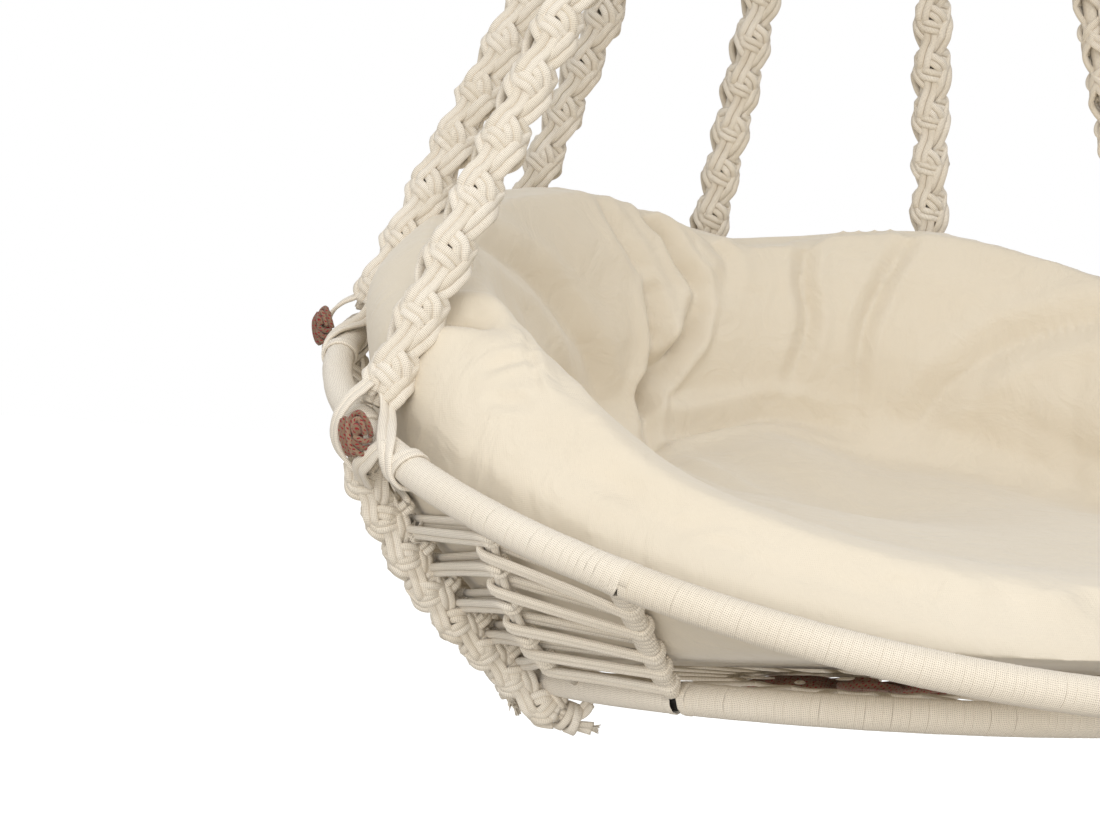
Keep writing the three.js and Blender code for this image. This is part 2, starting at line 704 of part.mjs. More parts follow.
// The cushion's outline in the upright plane at an angle, from the edge of its flat underside up inside the
// net and the upper ring, over the crest of the roll, down to the crease and across the dished seat.
function cushionProfile(degrees) {
  const column = new NetColumn(degrees, degrees);
  const inward = upperRing.outward(degrees).setZ(0).normalize().negate();
  const up = new THREE.Vector3(0, 0, 1);
  const crest = readTable(CUSHION_CREST_HEIGHTS, degrees);
  const crease = readTable(CUSHION_CREASE_HEIGHTS, degrees);
  const ropeLean = column.top.clone().setZ(0).length() / Math.abs(column.top.z - NECK_BOTTOM_Z);
  const floorHeight = SEAT_NET_THICKNESS / 2 + CUSHION_FLOOR_GAP;
  const edge = moved(
    column.bottom,
    [seatRing.outward(degrees), -(WRAP_RADIUS + CUSHION_CORNER)],
    [seatRing.normal, floorHeight],
  );
  const wallFoot = column.length - WRAP_RADIUS - CUSHION_CORNER;
  const overRing = (height, inset) => moved(column.top, [up, height], [inward, inset]);
  const shoulder = CUSHION_SHOULDER_SHARE * crest;
  const creaseDrop = column.top.z + crest - (SEAT_RING_CENTRE_Z + crease);
  const creasePoint = overRing(crest - creaseDrop, CUSHION_CREASE_INSET);
  const seat = moved(seatRing.centre, [up, CUSHION_SEAT_HEIGHT]);
  return [
    edge,
    column.at(wallFoot, -CUSHION_WALL_GAP, 0),
    column.at(column.length / 2, -CUSHION_WALL_GAP, 0),
    overRing(0, CUSHION_RING_GAP),
    overRing(shoulder, CUSHION_RING_GAP + ropeLean * shoulder),
    overRing(crest, CUSHION_CREST_INSET),
    overRing(
      crest - CUSHION_INNER_DOWN_SHARE * creaseDrop,
      THREE.MathUtils.lerp(CUSHION_CREST_INSET, CUSHION_CREASE_INSET, CUSHION_INNER_IN_SHARE),
    ),
    creasePoint,
    creasePoint.clone().lerp(seat, CUSHION_SEAT_SHARE).addScaledVector(up, CUSHION_SEAT_SWELL),
    seat,
  ];
}

function addCushion() {
  const floor = moved(seatRing.centre, [seatRing.normal, SEAT_NET_THICKNESS / 2 + CUSHION_FLOOR_GAP]);
  const seat = cushionProfile(0).at(-1);
  const rings = range(CUSHION_STATIONS).map((i) =>
    smooth(cushionProfile((360 * i) / CUSHION_STATIONS), CUSHION_PROFILE_STEPS).slice(0, -1),
  );
  const positions = rings.flat().flatMap((point) => point.toArray());
  const [bottomHub, topHub] = [positions.length / 3, positions.length / 3 + 1];
  positions.push(...floor.toArray(), ...seat.toArray());
  const index = [];
  for (const i of range(CUSHION_STATIONS)) {
    const here = i * CUSHION_PROFILE_STEPS;
    const next = ((i + 1) % CUSHION_STATIONS) * CUSHION_PROFILE_STEPS;
    const last = CUSHION_PROFILE_STEPS - 1;
    index.push(bottomHub, next, here, topHub, here + last, next + last);
    for (const j of range(last)) {
      index.push(here + j, next + j, next + j + 1, here + j, next + j + 1, here + j + 1);
    }
  }
  add("cushion", facingOut(positions, index), "cotton");
}

addHangingRing();
addRopeEye();
addNeckWhipping();
addWrappedRing("upper_ring", upperRing, FRONT_COLUMNS_DEG[0][0], 1);
addWrappedRing("seat_ring", seatRing, FRONT_COLUMNS_DEG[0][1], -1);
ropeColumns.forEach(addHangBraid);
ropeColumns.forEach(addLashing);
ropeColumns.forEach(addCoreKnot);
ropeColumns.forEach(addSideBraid);
plainColumns.forEach(addPlainColumn);
range(ROW_SHARES[0].length).forEach(addNetRow);
addSeatNet();
addSeatFlower();
addCushion();

export default chair;
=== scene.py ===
"""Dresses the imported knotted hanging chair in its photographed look.

Ropes, wound rings, a looped side net and a seat net are laid from single cords, and the cushion is blown
up as cloth. The builders measure in millimetres in the part's own frame: +Z up, the front towards -Y.
"""

from __future__ import annotations

import logging
import math
import random
from collections.abc import Sequence
from dataclasses import dataclass
from enum import Enum

import bpy
import numpy as np
from mathutils import Matrix, Vector
from mathutils.bvhtree import BVHTree

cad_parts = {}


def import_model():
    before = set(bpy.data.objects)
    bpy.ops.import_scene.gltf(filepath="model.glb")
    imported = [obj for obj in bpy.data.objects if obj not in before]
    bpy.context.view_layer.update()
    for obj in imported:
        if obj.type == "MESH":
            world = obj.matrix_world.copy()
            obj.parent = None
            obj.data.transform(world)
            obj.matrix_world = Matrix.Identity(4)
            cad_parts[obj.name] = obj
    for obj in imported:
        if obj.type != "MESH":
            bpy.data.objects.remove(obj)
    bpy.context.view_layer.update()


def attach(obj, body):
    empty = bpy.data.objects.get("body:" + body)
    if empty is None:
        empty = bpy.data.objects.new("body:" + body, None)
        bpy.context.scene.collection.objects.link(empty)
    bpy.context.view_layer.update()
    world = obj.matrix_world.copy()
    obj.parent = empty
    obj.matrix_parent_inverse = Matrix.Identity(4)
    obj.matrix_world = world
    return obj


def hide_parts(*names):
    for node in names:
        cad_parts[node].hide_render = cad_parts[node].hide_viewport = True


LOG = logging.getLogger("chair")
MM = 0.001
CHAIR = "chair"
ROOT = "hanging_ring"
Array = np.ndarray
Table = Sequence[Sequence[float]]
Socket = bpy.types.NodeSocket
Colour = tuple[float, float, float, float]


class Slot(Enum):
    """The material slots that a finished piece may fill."""

    STEEL = "ring_steel"
    TUBE = "dark_tube"
    CORD = "flat_cord"
    CORE = "core_cord"
    COTTON = "cotton"


def unit(v: Array) -> Array:
    """Scale vectors to length one along the last axis."""
    return v / np.maximum(np.linalg.norm(v, axis=-1, keepdims=True), 1e-9)


def spline(points: Array, steps: int, closed: bool = False) -> Array:
    """Run a smooth line through points.

    Args:
        points: The control points, one to a row.
        steps: How many samples each span between two points gets.
        closed: Whether the line joins its last point to its first.

    Returns:
        The samples, one to a row.
    """
    p = np.asarray(points, float)
    if closed:
        p = np.vstack([p[-1], p, p[0], p[1]])
    else:
        p = np.vstack([2 * p[0] - p[1], p, 2 * p[-1] - p[-2]])
    t = np.linspace(0, 1, steps, endpoint=False)[:, None]
    spans = [
        0.5 * (2 * b + (c - a) * t + (2 * a - 5 * b + 4 * c - d) * t**2 + (3 * b - a - 3 * c + d) * t**3)
        for a, b, c, d in zip(p, p[1:], p[2:], p[3:])
    ]
    if not closed:
        spans.append(p[-2:-1])
    return np.vstack(spans)


def arc_lengths(path: Array) -> Array:
    """Give the length of a path up to each of its points."""
    steps = np.linalg.norm(np.diff(path, axis=0), axis=1)
    return np.concatenate([[0.0], np.cumsum(steps)])


@dataclass(frozen=True)
class Ring:
    """A tilted ring: angles run from the front past -X to the back."""

    radius: float
    centre_y: float
    centre_z: float
    tilt: float

    @property
    def centre(self) -> Array:
        """The middle of the ring."""
        return np.array([0, self.centre_y, self.centre_z])

    @property
    def back(self) -> Array:
        """The direction in the ring's plane towards the back."""
        tilt = math.radians(self.tilt)
        return np.array([0, math.cos(tilt), math.sin(tilt)])

    @property
    def normal(self) -> Array:
        """The direction square to the ring's plane, up."""
        tilt = math.radians(self.tilt)
        return np.array([0, -math.sin(tilt), math.cos(tilt)])

    def outward(self, degrees: float) -> Array:
        """Give the direction away from the centre at an angle."""
        angle = math.radians(degrees)
        return np.array([-math.sin(angle), 0, 0]) - math.cos(angle) * self.back

    def at(self, degrees: float, out: float = 0, up: float = 0) -> Array:
        """Give the point at an angle, moved outward and up by lengths."""
        return self.centre + self.outward(degrees) * (self.radius + out) + self.normal * up

    def tangent(self, degrees: float) -> Array:
        """Give the direction in which the angle grows."""
        angle = math.radians(degrees)
        return np.array([-math.cos(angle), 0, 0]) + math.sin(angle) * self.back

    def angle_of(self, length: float) -> float:
        """Give the angle that a length along the ring covers, in degrees."""
        return math.degrees(length / self.radius)


UPPER = Ring(390, -46, -1066, 18)
SEAT = Ring(240, -34, -1242, -4.9)
WRAP_RADIUS = 10.0
KNEE_SHARE = 0.525
NET_BOW = 15
NECK_BOTTOM = -164.0
HINGE_Z = -64.0


class Guide:
    """A smooth line in space with a side and a face direction all along it."""

    def __init__(self, points: Array, face: Array) -> None:
        """Set up the line.

        Args:
            points: The line's samples.
            face: The direction that its face looks in, one or one to a sample.
        """
        self.points = np.asarray(points, float)
        self.along = unit(np.gradient(self.points, axis=0))
        face = np.broadcast_to(face, self.points.shape)
        self.side = unit(np.cross(face, self.along))
        self.face = np.cross(self.along, self.side)
        self.lengths = arc_lengths(self.points)

    @property
    def length(self) -> float:
        """The whole length of the line."""
        return float(self.lengths[-1])

    def _read(self, values: Array, at: Array) -> Array:
        """Read values that stand one to a sample of the line, at lengths along it."""
        return np.stack([np.interp(at, self.lengths, values[:, i]) for i in range(3)], axis=1)

    def place(self, local: Array) -> Array:
        """Carry points from the line's own frame into space.

        Args:
            local: Points as (to the side, out of the face, down the line).

        Returns:
            The same points in the part's frame.
        """
        local = np.asarray(local, float)
        at = np.clip(local[:, 2], 0, self.length)
        origin = self._read(self.points, at) + self._read(self.along, at) * (local[:, 2] - at)[:, None]
        side, face = self._read(self.side, at), self._read(self.face, at)
        return origin + side * local[:, :1] + face * local[:, 1:2]

    def turn(self, local: Array) -> Array:
        """Carry directions out of the line into space.

        Args:
            local: Points of the line's own frame, whose directions from the line are meant.

        Returns:
            Those directions in the part's frame, each of length one.
        """
        at = np.clip(local[:, 2], 0, self.length)
        flat = unit(local[:, :2])
        return self._read(self.side, at) * flat[:, :1] + self._read(self.face, at) * flat[:, 1:]


@dataclass(frozen=True)
class CordSize:
    """The section of one cord, and how many lie side by side in a strand."""

    width: float
    thickness: float
    ply: int = 1


class Section(Enum):
    """Outlines of a cord in shares of its half width and half thickness."""

    SOFT = (
        (1, 0.3), (0.68, 0.94), (-0.68, 0.94), (-1, 0.3),
        (-1, -0.3), (-0.68, -0.94), (0.68, -0.94), (1, -0.3),
    )
    SLIM = ((1, 0), (0.68, 0.92), (-0.68, 0.92), (-1, 0), (-0.68, -0.92), (0.68, -0.92))
    ROUND = ((1, 0), (0.72, 0.72), (0, 1), (-0.72, 0.72), (-1, 0), (-0.72, -0.72), (0, -1), (0.72, -0.72))
    TAPE = ((1, 0.5), (0.94, 0.92), (0.74, 1), (-0.74, 1), (-0.94, 0.92), (-1, 0.5), (0, -1))
    HAIR = ((1, 0), (0, 1), (-1, 0), (0, -1))


class CordMesh:
    """Collects many cords, each swept along its own path, in one mesh."""

    def __init__(self, name: str) -> None:
        """Start an empty mesh, whose name also seeds its random draws."""
        self.name = name
        self.random = random.Random(f"{name}0")
        self._verts: list[Array] = []
        self._quads: list[Array] = []
        self._caps: list[list[int]] = []
        self._uvs: list[Array] = []
        self._tints: list[Array] = []
        self._count = 0

    def cord(
        self,
        path: Array,
        facing: Array,
        width: float | Array,
        thickness: float | Array,
        closed: bool = False,
        section: Section = Section.SOFT,
    ) -> None:
        """Sweep one cord.

        Args:
            path: The middle line, one point to a row.
            facing: The direction of the cord's flat face, one or one to a point.
            width: The full width, one or one to a point.
            thickness: The full thickness, one or one to a point.
            closed: Whether the cord joins its own start.
            section: The outline of the cord.
        """
        path = np.asarray(path, float)
        count = len(path)
        if closed:
            along = unit(np.roll(path, -1, axis=0) - np.roll(path, 1, axis=0))
        else:
            along = unit(np.gradient(path, axis=0))
        across = unit(np.cross(along, np.broadcast_to(facing, path.shape)))
        face = np.cross(across, along)
        outline = np.array(section.value, float)
        half_width = np.broadcast_to(np.asarray(width, float) / 2, (count,))
        half_thickness = np.broadcast_to(np.asarray(thickness, float) / 2, (count,))
        points = (
            path[:, None, :]
            + across[:, None, :] * (half_width[:, None] * outline[:, 0])[:, :, None]
            + face[:, None, :] * (half_thickness[:, None] * outline[:, 1])[:, :, None]
        )
        sides = len(outline)
        index = self._count + np.arange(count * sides).reshape(count, sides)
        rows = count if closed else count - 1
        here, beside = index[:rows], np.roll(index, -1, axis=1)[:rows]
        below = np.roll(index, -1, axis=0)[:rows]
        opposite = np.roll(np.roll(index, -1, axis=1), -1, axis=0)[:rows]
        self._quads.append(np.stack([here, below, opposite, beside], axis=-1).reshape(-1, 4))
        if not closed:
            self._caps.append(index[0].tolist())
            self._caps.append(index[-1][::-1].tolist())
        lengths = arc_lengths(np.vstack([path, path[:1]]) if closed else path) * MM
        girth = arc_lengths(np.vstack([outline, outline[:1]]) * [half_width[0], half_thickness[0]]) * MM
        near, far = lengths[:rows], lengths[1 : rows + 1]
        grid = np.empty((rows, sides, 4, 2))
        grid[:, :, 0, 0] = grid[:, :, 3, 0] = near[:, None]
        grid[:, :, 1, 0] = grid[:, :, 2, 0] = far[:, None]
        grid[:, :, 0, 1] = grid[:, :, 1, 1] = girth[None, :-1]
        grid[:, :, 2, 1] = grid[:, :, 3, 1] = girth[None, 1:]
        self._uvs.append(grid.reshape(-1, 2))
        self._verts.append(points.reshape(-1, 3))
        self._tints.append(np.full(count * sides, self.random.random()))
        self._count += count * sides

    def strand(
        self,
        path: Array,
        facing: Array,
        size: CordSize,
        closed: bool = False,
        section: Section = Section.SOFT,
    ) -> None:
        """Lay a strand of cords side by side along one path.

        Args:
            path: The middle line of the strand.
            facing: The direction of its flat face at each point.
            size: The section of its cords, and their number.
            closed: Whether the strand joins its own start.
            section: The outline of each cord.
        """
        if closed:
            along = unit(np.roll(path, -1, axis=0) - np.roll(path, 1, axis=0))
        else:
            along = unit(np.gradient(path, axis=0))
        across = unit(np.cross(along, np.broadcast_to(facing, path.shape)))
        for i in range(size.ply):
            shift = (i - (size.ply - 1) / 2) * size.width * 0.95
            self.cord(path + across * shift, facing, size.width, size.thickness, closed, section)

    def fray(self, root: Array, direction: Array, length: float, spread: float, count: int) -> None:
        """Let a cord's end burst into thin fibres.

        Args:
            root: Where the cord ends.
            direction: Which way the cord points there.
            length: The mean length of a fibre.
            spread: How far the fibres open, as a share of their length.
            count: The number of fibres.
        """
        axis = unit(np.asarray(direction, float))
        for _ in range(count):
            loose = np.array([self.random.gauss(0, 1) for _ in range(3)])
            loose -= axis * loose.dot(axis)
            reach = length * self.random.uniform(0.6, 1.15)
            start = root + loose * 1.1
            middle = start + axis * reach * 0.5 + loose * spread * reach * 0.25
            end = start + axis * reach * 0.9 + loose * spread * reach * 0.62
            path = spline([start, middle, end], 3)
            self.cord(path, [0.3, 0.5, 0.8], np.linspace(1.3, 0.5, len(path)), 0.7, section=Section.HAIR)

    def build(self) -> bpy.types.Object:
        """Make the mesh object.

        Returns:
            The object, in metres at the origin, with its UV map and tint attribute.
        """
        mesh = bpy.data.meshes.new(self.name)
        quads = np.vstack(self._quads)
        mesh.from_pydata((np.vstack(self._verts) * MM).tolist(), [], quads.tolist() + self._caps)
        mesh.polygons.foreach_set("use_smooth", np.ones(len(mesh.polygons), bool))
        layer = mesh.uv_layers.new(name="cord")
        uvs = np.zeros((len(mesh.loops), 2))
        flat = np.vstack(self._uvs)
        uvs[: len(flat)] = flat
        layer.data.foreach_set("uv", uvs.ravel())
        tint = mesh.attributes.new("tint", "FLOAT", "POINT")
        tint.data.foreach_set("value", np.concatenate(self._tints))
        obj = bpy.data.objects.new(self.name, mesh)
        bpy.context.scene.collection.objects.link(obj)
        return obj


class Nodes:
    """A small helper that adds and links shader nodes of one material."""

    def __init__(self, name: str) -> None:
        """Make an empty node material of a name, with a Principled shader."""
        self.material = bpy.data.materials.new(name)
        self.material.use_nodes = True
        self.tree = self.material.node_tree
        self.shader = self.tree.nodes["Principled BSDF"]

    def add(self, kind: str, inputs: dict | None = None, **settings: object) -> bpy.types.Node:
        """Add a node.

        Args:
            kind: The node's type.
            inputs: Values or source sockets by input name or number.
            settings: The node's own properties.

        Returns:
            The new node.
        """
        node = self.tree.nodes.new(kind)
        for key, value in settings.items():
            setattr(node, key, value)
        for key, value in (inputs or {}).items():
            if isinstance(value, Socket):
                self.tree.links.new(value, node.inputs[key])
            else:
                node.inputs[key].default_value = value
        return node

    def math(self, operation: str, *values: float | Socket) -> Socket:
        """Add a math node and give its result."""
        return self.add("ShaderNodeMath", dict(enumerate(values)), operation=operation).outputs[0]

    def mix(self, share: Socket, first: Colour | Socket, second: Colour | Socket) -> Socket:
        """Mix two colours.

        Args:
            share: How much of the second colour shows, from 0 to 1.
            first: The first colour.
            second: The second colour.

        Returns:
            The mixed colour.
        """
        node = self.add("ShaderNodeMix", data_type="RGBA")
        for socket, value in zip((node.inputs[0], node.inputs[6], node.inputs[7]), (share, first, second)):
            if isinstance(value, Socket):
                self.tree.links.new(value, socket)
            else:
                socket.default_value = value
        return node.outputs[2]

    def feed(self, **inputs: float | Colour | Socket) -> None:
        """Give the shader's sockets their values or sources.

        Args:
            inputs: Values or source sockets by socket name, with _ for a space in it.
        """
        for key, value in inputs.items():
            socket = self.shader.inputs[key.replace("_", " ")]
            if isinstance(value, Socket):
                self.tree.links.new(value, socket)
            else:
                socket.default_value = value

    def bump(self, height: Socket, distance: float, strength: float = 1.0) -> Socket:
        """Add a bump node over a height in shares of a distance in metres."""
        return self.add(
            "ShaderNodeBump", {"Height": height, "Distance": distance, "Strength": strength}
        ).outputs[0]


def rgb(value: int) -> Colour:
    """Turn a display colour into linear light.

    Args:
        value: The colour, such as 0xaabbcc.

    Returns:
        Red, green and blue in linear light, and full cover.
    """
    parts = [((value >> shift) & 255) / 255 for shift in (16, 8, 0)]
    linear = [p / 12.92 if p <= 0.04045 else ((p + 0.055) / 1.055) ** 2.4 for p in parts]
    return (*linear, 1.0)


@dataclass(frozen=True)
class CordFinish:
    """Hollow-braided flat cord with a fine dotted surface."""

    name: str
    base: int
    shade: int
    dot: int
    dot_share: float
    pitch: float
    depth: float
    roughness: float = 0.82
    dash: int | None = None

    def make(self) -> bpy.types.Material:
        """Make the material.

        Returns:
            The material, whose braid follows the cord by its own UV map.
        """
        n = Nodes(self.name)
        place = n.add("ShaderNodeUVMap", uv_map="cord").outputs[0]
        split = n.add("ShaderNodeSeparateXYZ", {0: place})
        turn = 2 * math.pi / (self.pitch * MM)
        total = n.math("ADD", split.outputs[0], split.outputs[1])
        apart = n.math("SUBTRACT", split.outputs[0], split.outputs[1])
        waves = [n.math("SINE", n.math("MULTIPLY", value, turn)) for value in (total, apart)]
        cross = n.math("MULTIPLY", *waves)
        braid = n.math("MULTIPLY_ADD", cross, 0.5, 0.5)
        dots = n.add("ShaderNodeMapRange", {"Value": braid, "From Min": 0.55, "From Max": 0.95}).outputs[0]
        solid = n.add("ShaderNodeTexCoord").outputs["Object"]
        cloud = n.add("ShaderNodeTexNoise", {"Vector": solid, "Scale": 9.0, "Detail": 3.0}).outputs[0]
        fibre = n.add("ShaderNodeTexNoise", {"Vector": solid, "Scale": 900.0, "Detail": 2.0}).outputs[0]
        tint = n.add("ShaderNodeAttribute", attribute_name="tint").outputs["Fac"]
        tone = n.math("MULTIPLY_ADD", tint, 0.55, n.math("MULTIPLY_ADD", cloud, 0.9, -0.25))
        colour = n.mix(n.add("ShaderNodeClamp", {0: tone}).outputs[0], rgb(self.base), rgb(self.shade))
        speck = n.math("MULTIPLY", dots, self.dot_share)
        speck = n.math("MULTIPLY", speck, n.math("MULTIPLY_ADD", fibre, 0.9, 0.35))
        colour = n.mix(speck, colour, rgb(self.dot))
        if self.dash is not None:
            stripe = n.math("SINE", n.math("MULTIPLY", apart, turn * 0.5))
            gate = n.math("SINE", n.math("MULTIPLY", total, turn * 0.31))
            marks = n.math(
                "MULTIPLY", n.math("GREATER_THAN", stripe, 0.3), n.math("GREATER_THAN", gate, -0.1)
            )
            colour = n.mix(marks, colour, rgb(self.dash))
        rough = n.math("MULTIPLY_ADD", fibre, 0.14, self.roughness - 0.07)
        height = n.math("ADD", n.math("MULTIPLY", braid, -0.8), n.math("MULTIPLY", fibre, 0.5))
        n.feed(Base_Color=colour, Roughness=rough, Normal=n.bump(height, self.depth * MM))
        n.feed(Sheen_Weight=0.25, Sheen_Roughness=0.5, Specular_IOR_Level=0.25)
        return n.material


@dataclass(frozen=True)
class CottonFinish:
    """Cream cotton with a fine slub weave."""

    name: str = "cotton_cover"
    base: int = 0xDDD3C1
    shade: int = 0xD3C6AF
    thread: float = 0.55
    crumple: float = 5.0

    def make(self) -> bpy.types.Material:
        """Make the material.

        Returns:
            The material, in object coordinates.
        """
        n = Nodes(self.name)
        solid = n.add("ShaderNodeTexCoord").outputs["Object"]
        warps = []
        for axis, stretch in (("X", (1, 0.04, 0.04)), ("Z", (0.04, 0.04, 1))):
            wave = n.add(
                "ShaderNodeTexWave",
                {"Vector": solid, "Scale": 1 / (self.thread * MM) / 6.28, "Distortion": 1.2, "Detail": 1.0},
                bands_direction=axis,
            ).outputs["Fac"]
            longwise = n.add("ShaderNodeMapping", {"Vector": solid, "Scale": stretch}).outputs[0]
            slub = n.add("ShaderNodeTexNoise", {"Vector": longwise, "Scale": 420.0, "Detail": 2.0}).outputs[0]
            warps.append(n.math("MULTIPLY", wave, n.math("MULTIPLY_ADD", slub, 1.3, 0.1)))
        weave = n.math("ADD", *warps)
        cloud = n.add("ShaderNodeTexNoise", {"Vector": solid, "Scale": 5.0, "Detail": 4.0}).outputs[0]
        fleck = n.add("ShaderNodeMapRange", {"Value": weave, "From Min": 0.9, "From Max": 1.7}).outputs[0]
        tone = n.math("MULTIPLY_ADD", cloud, 1.1, n.math("MULTIPLY_ADD", fleck, 0.1, -0.3))
        colour = n.mix(n.add("ShaderNodeClamp", {0: tone}).outputs[0], rgb(self.base), rgb(self.shade))
        rough = n.math("MULTIPLY_ADD", weave, 0.06, 0.84)
        crumple = n.add(
            "ShaderNodeTexNoise", {"Vector": solid, "Scale": 26.0, "Detail": 3.0, "Distortion": 1.4}
        ).outputs[0]
        soft = n.bump(crumple, self.crumple * MM, 0.5)
        fine = n.add(
            "ShaderNodeBump", {"Height": weave, "Distance": 0.1 * MM, "Strength": 0.5, "Normal": soft}
        )
        n.feed(Base_Color=colour, Roughness=rough, Normal=fine.outputs[0])
        n.feed(Sheen_Weight=0.3, Sheen_Roughness=0.45, Specular_IOR_Level=0.2)
        return n.material


@dataclass(frozen=True)
class MetalFinish:
    """Bare or darkened steel with a fine grain."""

    name: str
    base: int
    shade: int
    roughness: float
    metallic: float

    def make(self) -> bpy.types.Material:
        """Make the material.

        Returns:
            The material, in object coordinates.
        """
        n = Nodes(self.name)
        solid = n.add("ShaderNodeTexCoord").outputs["Object"]
        grain = n.add("ShaderNodeTexNoise", {"Vector": solid, "Scale": 700.0, "Detail": 4.0}).outputs[0]
        cloud = n.add("ShaderNodeTexNoise", {"Vector": solid, "Scale": 30.0, "Detail": 3.0}).outputs[0]
        rough = n.math("MULTIPLY_ADD", cloud, 0.2, self.roughness - 0.1)
        n.feed(Base_Color=n.mix(cloud, rgb(self.base), rgb(self.shade)), Roughness=rough)
        n.feed(Metallic=self.metallic, Normal=n.bump(grain, 0.03 * MM, 0.6))
        return n.material


@dataclass(frozen=True)
class StageFinish:
    """A plain white surface for the floor, which throws less light up than it shows."""

    name: str = "floor_white"
    base: int = 0xF9F9F8
    shade: int = 0xB9B4AC
    glow: float = 0.55

    def make(self) -> bpy.types.Material:
        """Make the material.

        Returns:
            The material, which is brighter to the camera than to the object.
        """
        n = Nodes(self.name)
        seen = n.add("ShaderNodeLightPath").outputs["Is Camera Ray"]
        colour = n.mix(seen, rgb(self.shade), rgb(self.base))
        n.feed(Base_Color=colour, Roughness=0.9, Specular_IOR_Level=0.1)
        n.feed(Emission_Color=rgb(self.base), Emission_Strength=n.math("MULTIPLY", seen, self.glow))
        return n.material


class Palette:
    """One material for each slot."""

    def __init__(self) -> None:
        """Make all the materials."""
        cord = CordFinish("flat_cord", 0xF3EBDD, 0xE4D9C6, 0x7A6852, 0.85, 2.1, 0.25)
        core = CordFinish("core_cord", 0xA88C72, 0x765A45, 0x402A22, 0.8, 1.5, 0.3, dash=0x8C1620)
        self._made = {
            Slot.CORD: cord.make(),
            Slot.CORE: core.make(),
            Slot.COTTON: CottonFinish().make(),
            Slot.STEEL: MetalFinish("ring_steel", 0xC9C9C7, 0xB0B0AE, 0.34, 1.0).make(),
            Slot.TUBE: MetalFinish("dark_tube", 0x3A3836, 0x262423, 0.5, 0.6).make(),
        }

    def dress(self, obj: bpy.types.Object, slot: Slot) -> None:
        """Give an object its finish.

        Args:
            obj: The object.
            slot: The slot whose material and name it gets.
        """
        obj.data.materials.clear()
        obj.data.materials.append(self._made[slot])

    def finish(self, obj: bpy.types.Object, slot: Slot, *nodes: str, body: str = CHAIR) -> None:
        """Dress a new piece, let it ride on its body and take the place of CAD nodes.

        Args:
            obj: The piece.
            slot: The slot that its finish comes from.
            nodes: The CAD nodes that it stands for, if any.
            body: The body that it rides on.
        """
        self.dress(obj, slot)
        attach(obj, body)
        if nodes:
            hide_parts(*nodes)
        LOG.info("%s: %d faces", obj.name, len(obj.data.polygons))


@dataclass(frozen=True)
class Knot:
    """One lump of a knotted rope, woven from strands that cross its front and, turned half round, its back.

    The tables hold (side, face, down) from the middle of a lump of the drawn pitch and radius, and are
    scaled to the real one.
    """

    pitch: float
    radius: float
    band: CordSize
    bar: CordSize
    section: Section = Section.SOFT

    DRAWN_PITCH = 41
    DRAWN_RADIUS = 16
    STEPS = 3
    UNEVEN = 0.4
    UNEVEN_TURN = 4
    SIDE_LEAN = 0.55
    FRONT = (
        (-1, 10, 0), (-1, 11, 6), (-1.5, 10.5, 13), (-3, 10.5, 19),
        (-5, 11.6, 25), (-6.5, 12.6, 31), (-7, 11.5, 36), (-6.5, 7.5, 40),
    )
    RIGHT = (
        (2, -9, -17), (8.5, -6, -14), (12.4, -1.5, -9.5), (13, 3, -4), (12.4, 6.8, 1),
        (11.4, 9, 6), (10, 9.6, 11), (7.4, 8.8, 17), (3.4, 7.2, 23), (-2, 5, 28),
    )
    LEFT = (
        (-5, -8, -15), (-10.6, -4, -12), (-13, 1, -7), (-12.8, 5.4, -2.4),
        (-11.4, 8.6, 1.6), (-8.6, 10, 5.4), (-5, 9.4, 9), (-1.5, 7, 12),
    )
    UPPER_BAR = (
        (-3, 10.5, -13), (1, 13, -11.4), (4.8, 13.5, -8.4), (7.2, 12, -4.6), (8, 9, -0.6), (8, 5.5, 3),
    )
    LOWER_BAR = (
        (-10.6, 7, -2), (-7.4, 11.4, -0.6), (-2.6, 13.6, 0.6), (2, 13.2, 2), (5.8, 10.6, 3.6), (8, 7, 5),
    )

    def _lay(
        self, mesh: CordMesh, guide: Guide, table: Table, middle: float, turn: float, size: CordSize
    ) -> None:
        """Place one strand of the lump, with a little unevenness.

        Args:
            mesh: Where its cords go.
            guide: The line of the rope.
            table: The strand's points in the drawn lump.
            middle: The length down the guide at the lump's middle.
            turn: How far the strand is turned round the guide.
            size: The section of its cords.
        """
        uneven, wobble = self.UNEVEN, self.UNEVEN_TURN
        wide = self.radius / self.DRAWN_RADIUS
        local = np.array(table, float)
        local = local + [[mesh.random.uniform(-uneven, uneven) for _ in range(3)] for _ in table]
        local = spline(local * [wide, wide, self.pitch / self.DRAWN_PITCH], self.STEPS)
        facing = local * [self.SIDE_LEAN, 1, 1]
        angle = turn + math.radians(mesh.random.uniform(-wobble, wobble))
        cos, sin = math.cos(angle), math.sin(angle)
        for rows in (local, facing):
            rows[:, :2] = rows[:, :2] @ np.array([[cos, sin], [-sin, cos]])
            rows[:, 2] += middle
        mesh.strand(guide.place(local), guide.turn(facing), size, section=self.section)

    def weave(
        self, mesh: CordMesh, guide: Guide, middle: float, turn: float, ends: tuple[bool, bool]
    ) -> None:
        """Weave the lump that has its middle at a length down the guide.

        Args:
            mesh: Where the cords go.
            guide: The line of the rope.
            middle: The length down the guide at the lump's middle.
            turn: How far the lump is turned round the guide.
            ends: Whether the lump is the rope's first, and whether it is its last.
        """
        first, last = ends
        bands = [self.FRONT[:3], self.RIGHT[:8]] if last else [self.FRONT, self.RIGHT]
        if first:
            bands.insert(0, [(x, y, z - self.DRAWN_PITCH) for x, y, z in self.FRONT[2:]])
        strands = [(table, self.band) for table in bands]
        strands += [(table, self.bar) for table in (self.LEFT, self.UPPER_BAR, self.LOWER_BAR)]
        for half in (0, math.pi):
            for table, size in strands:
                self._lay(mesh, guide, table, middle, turn + half, size)


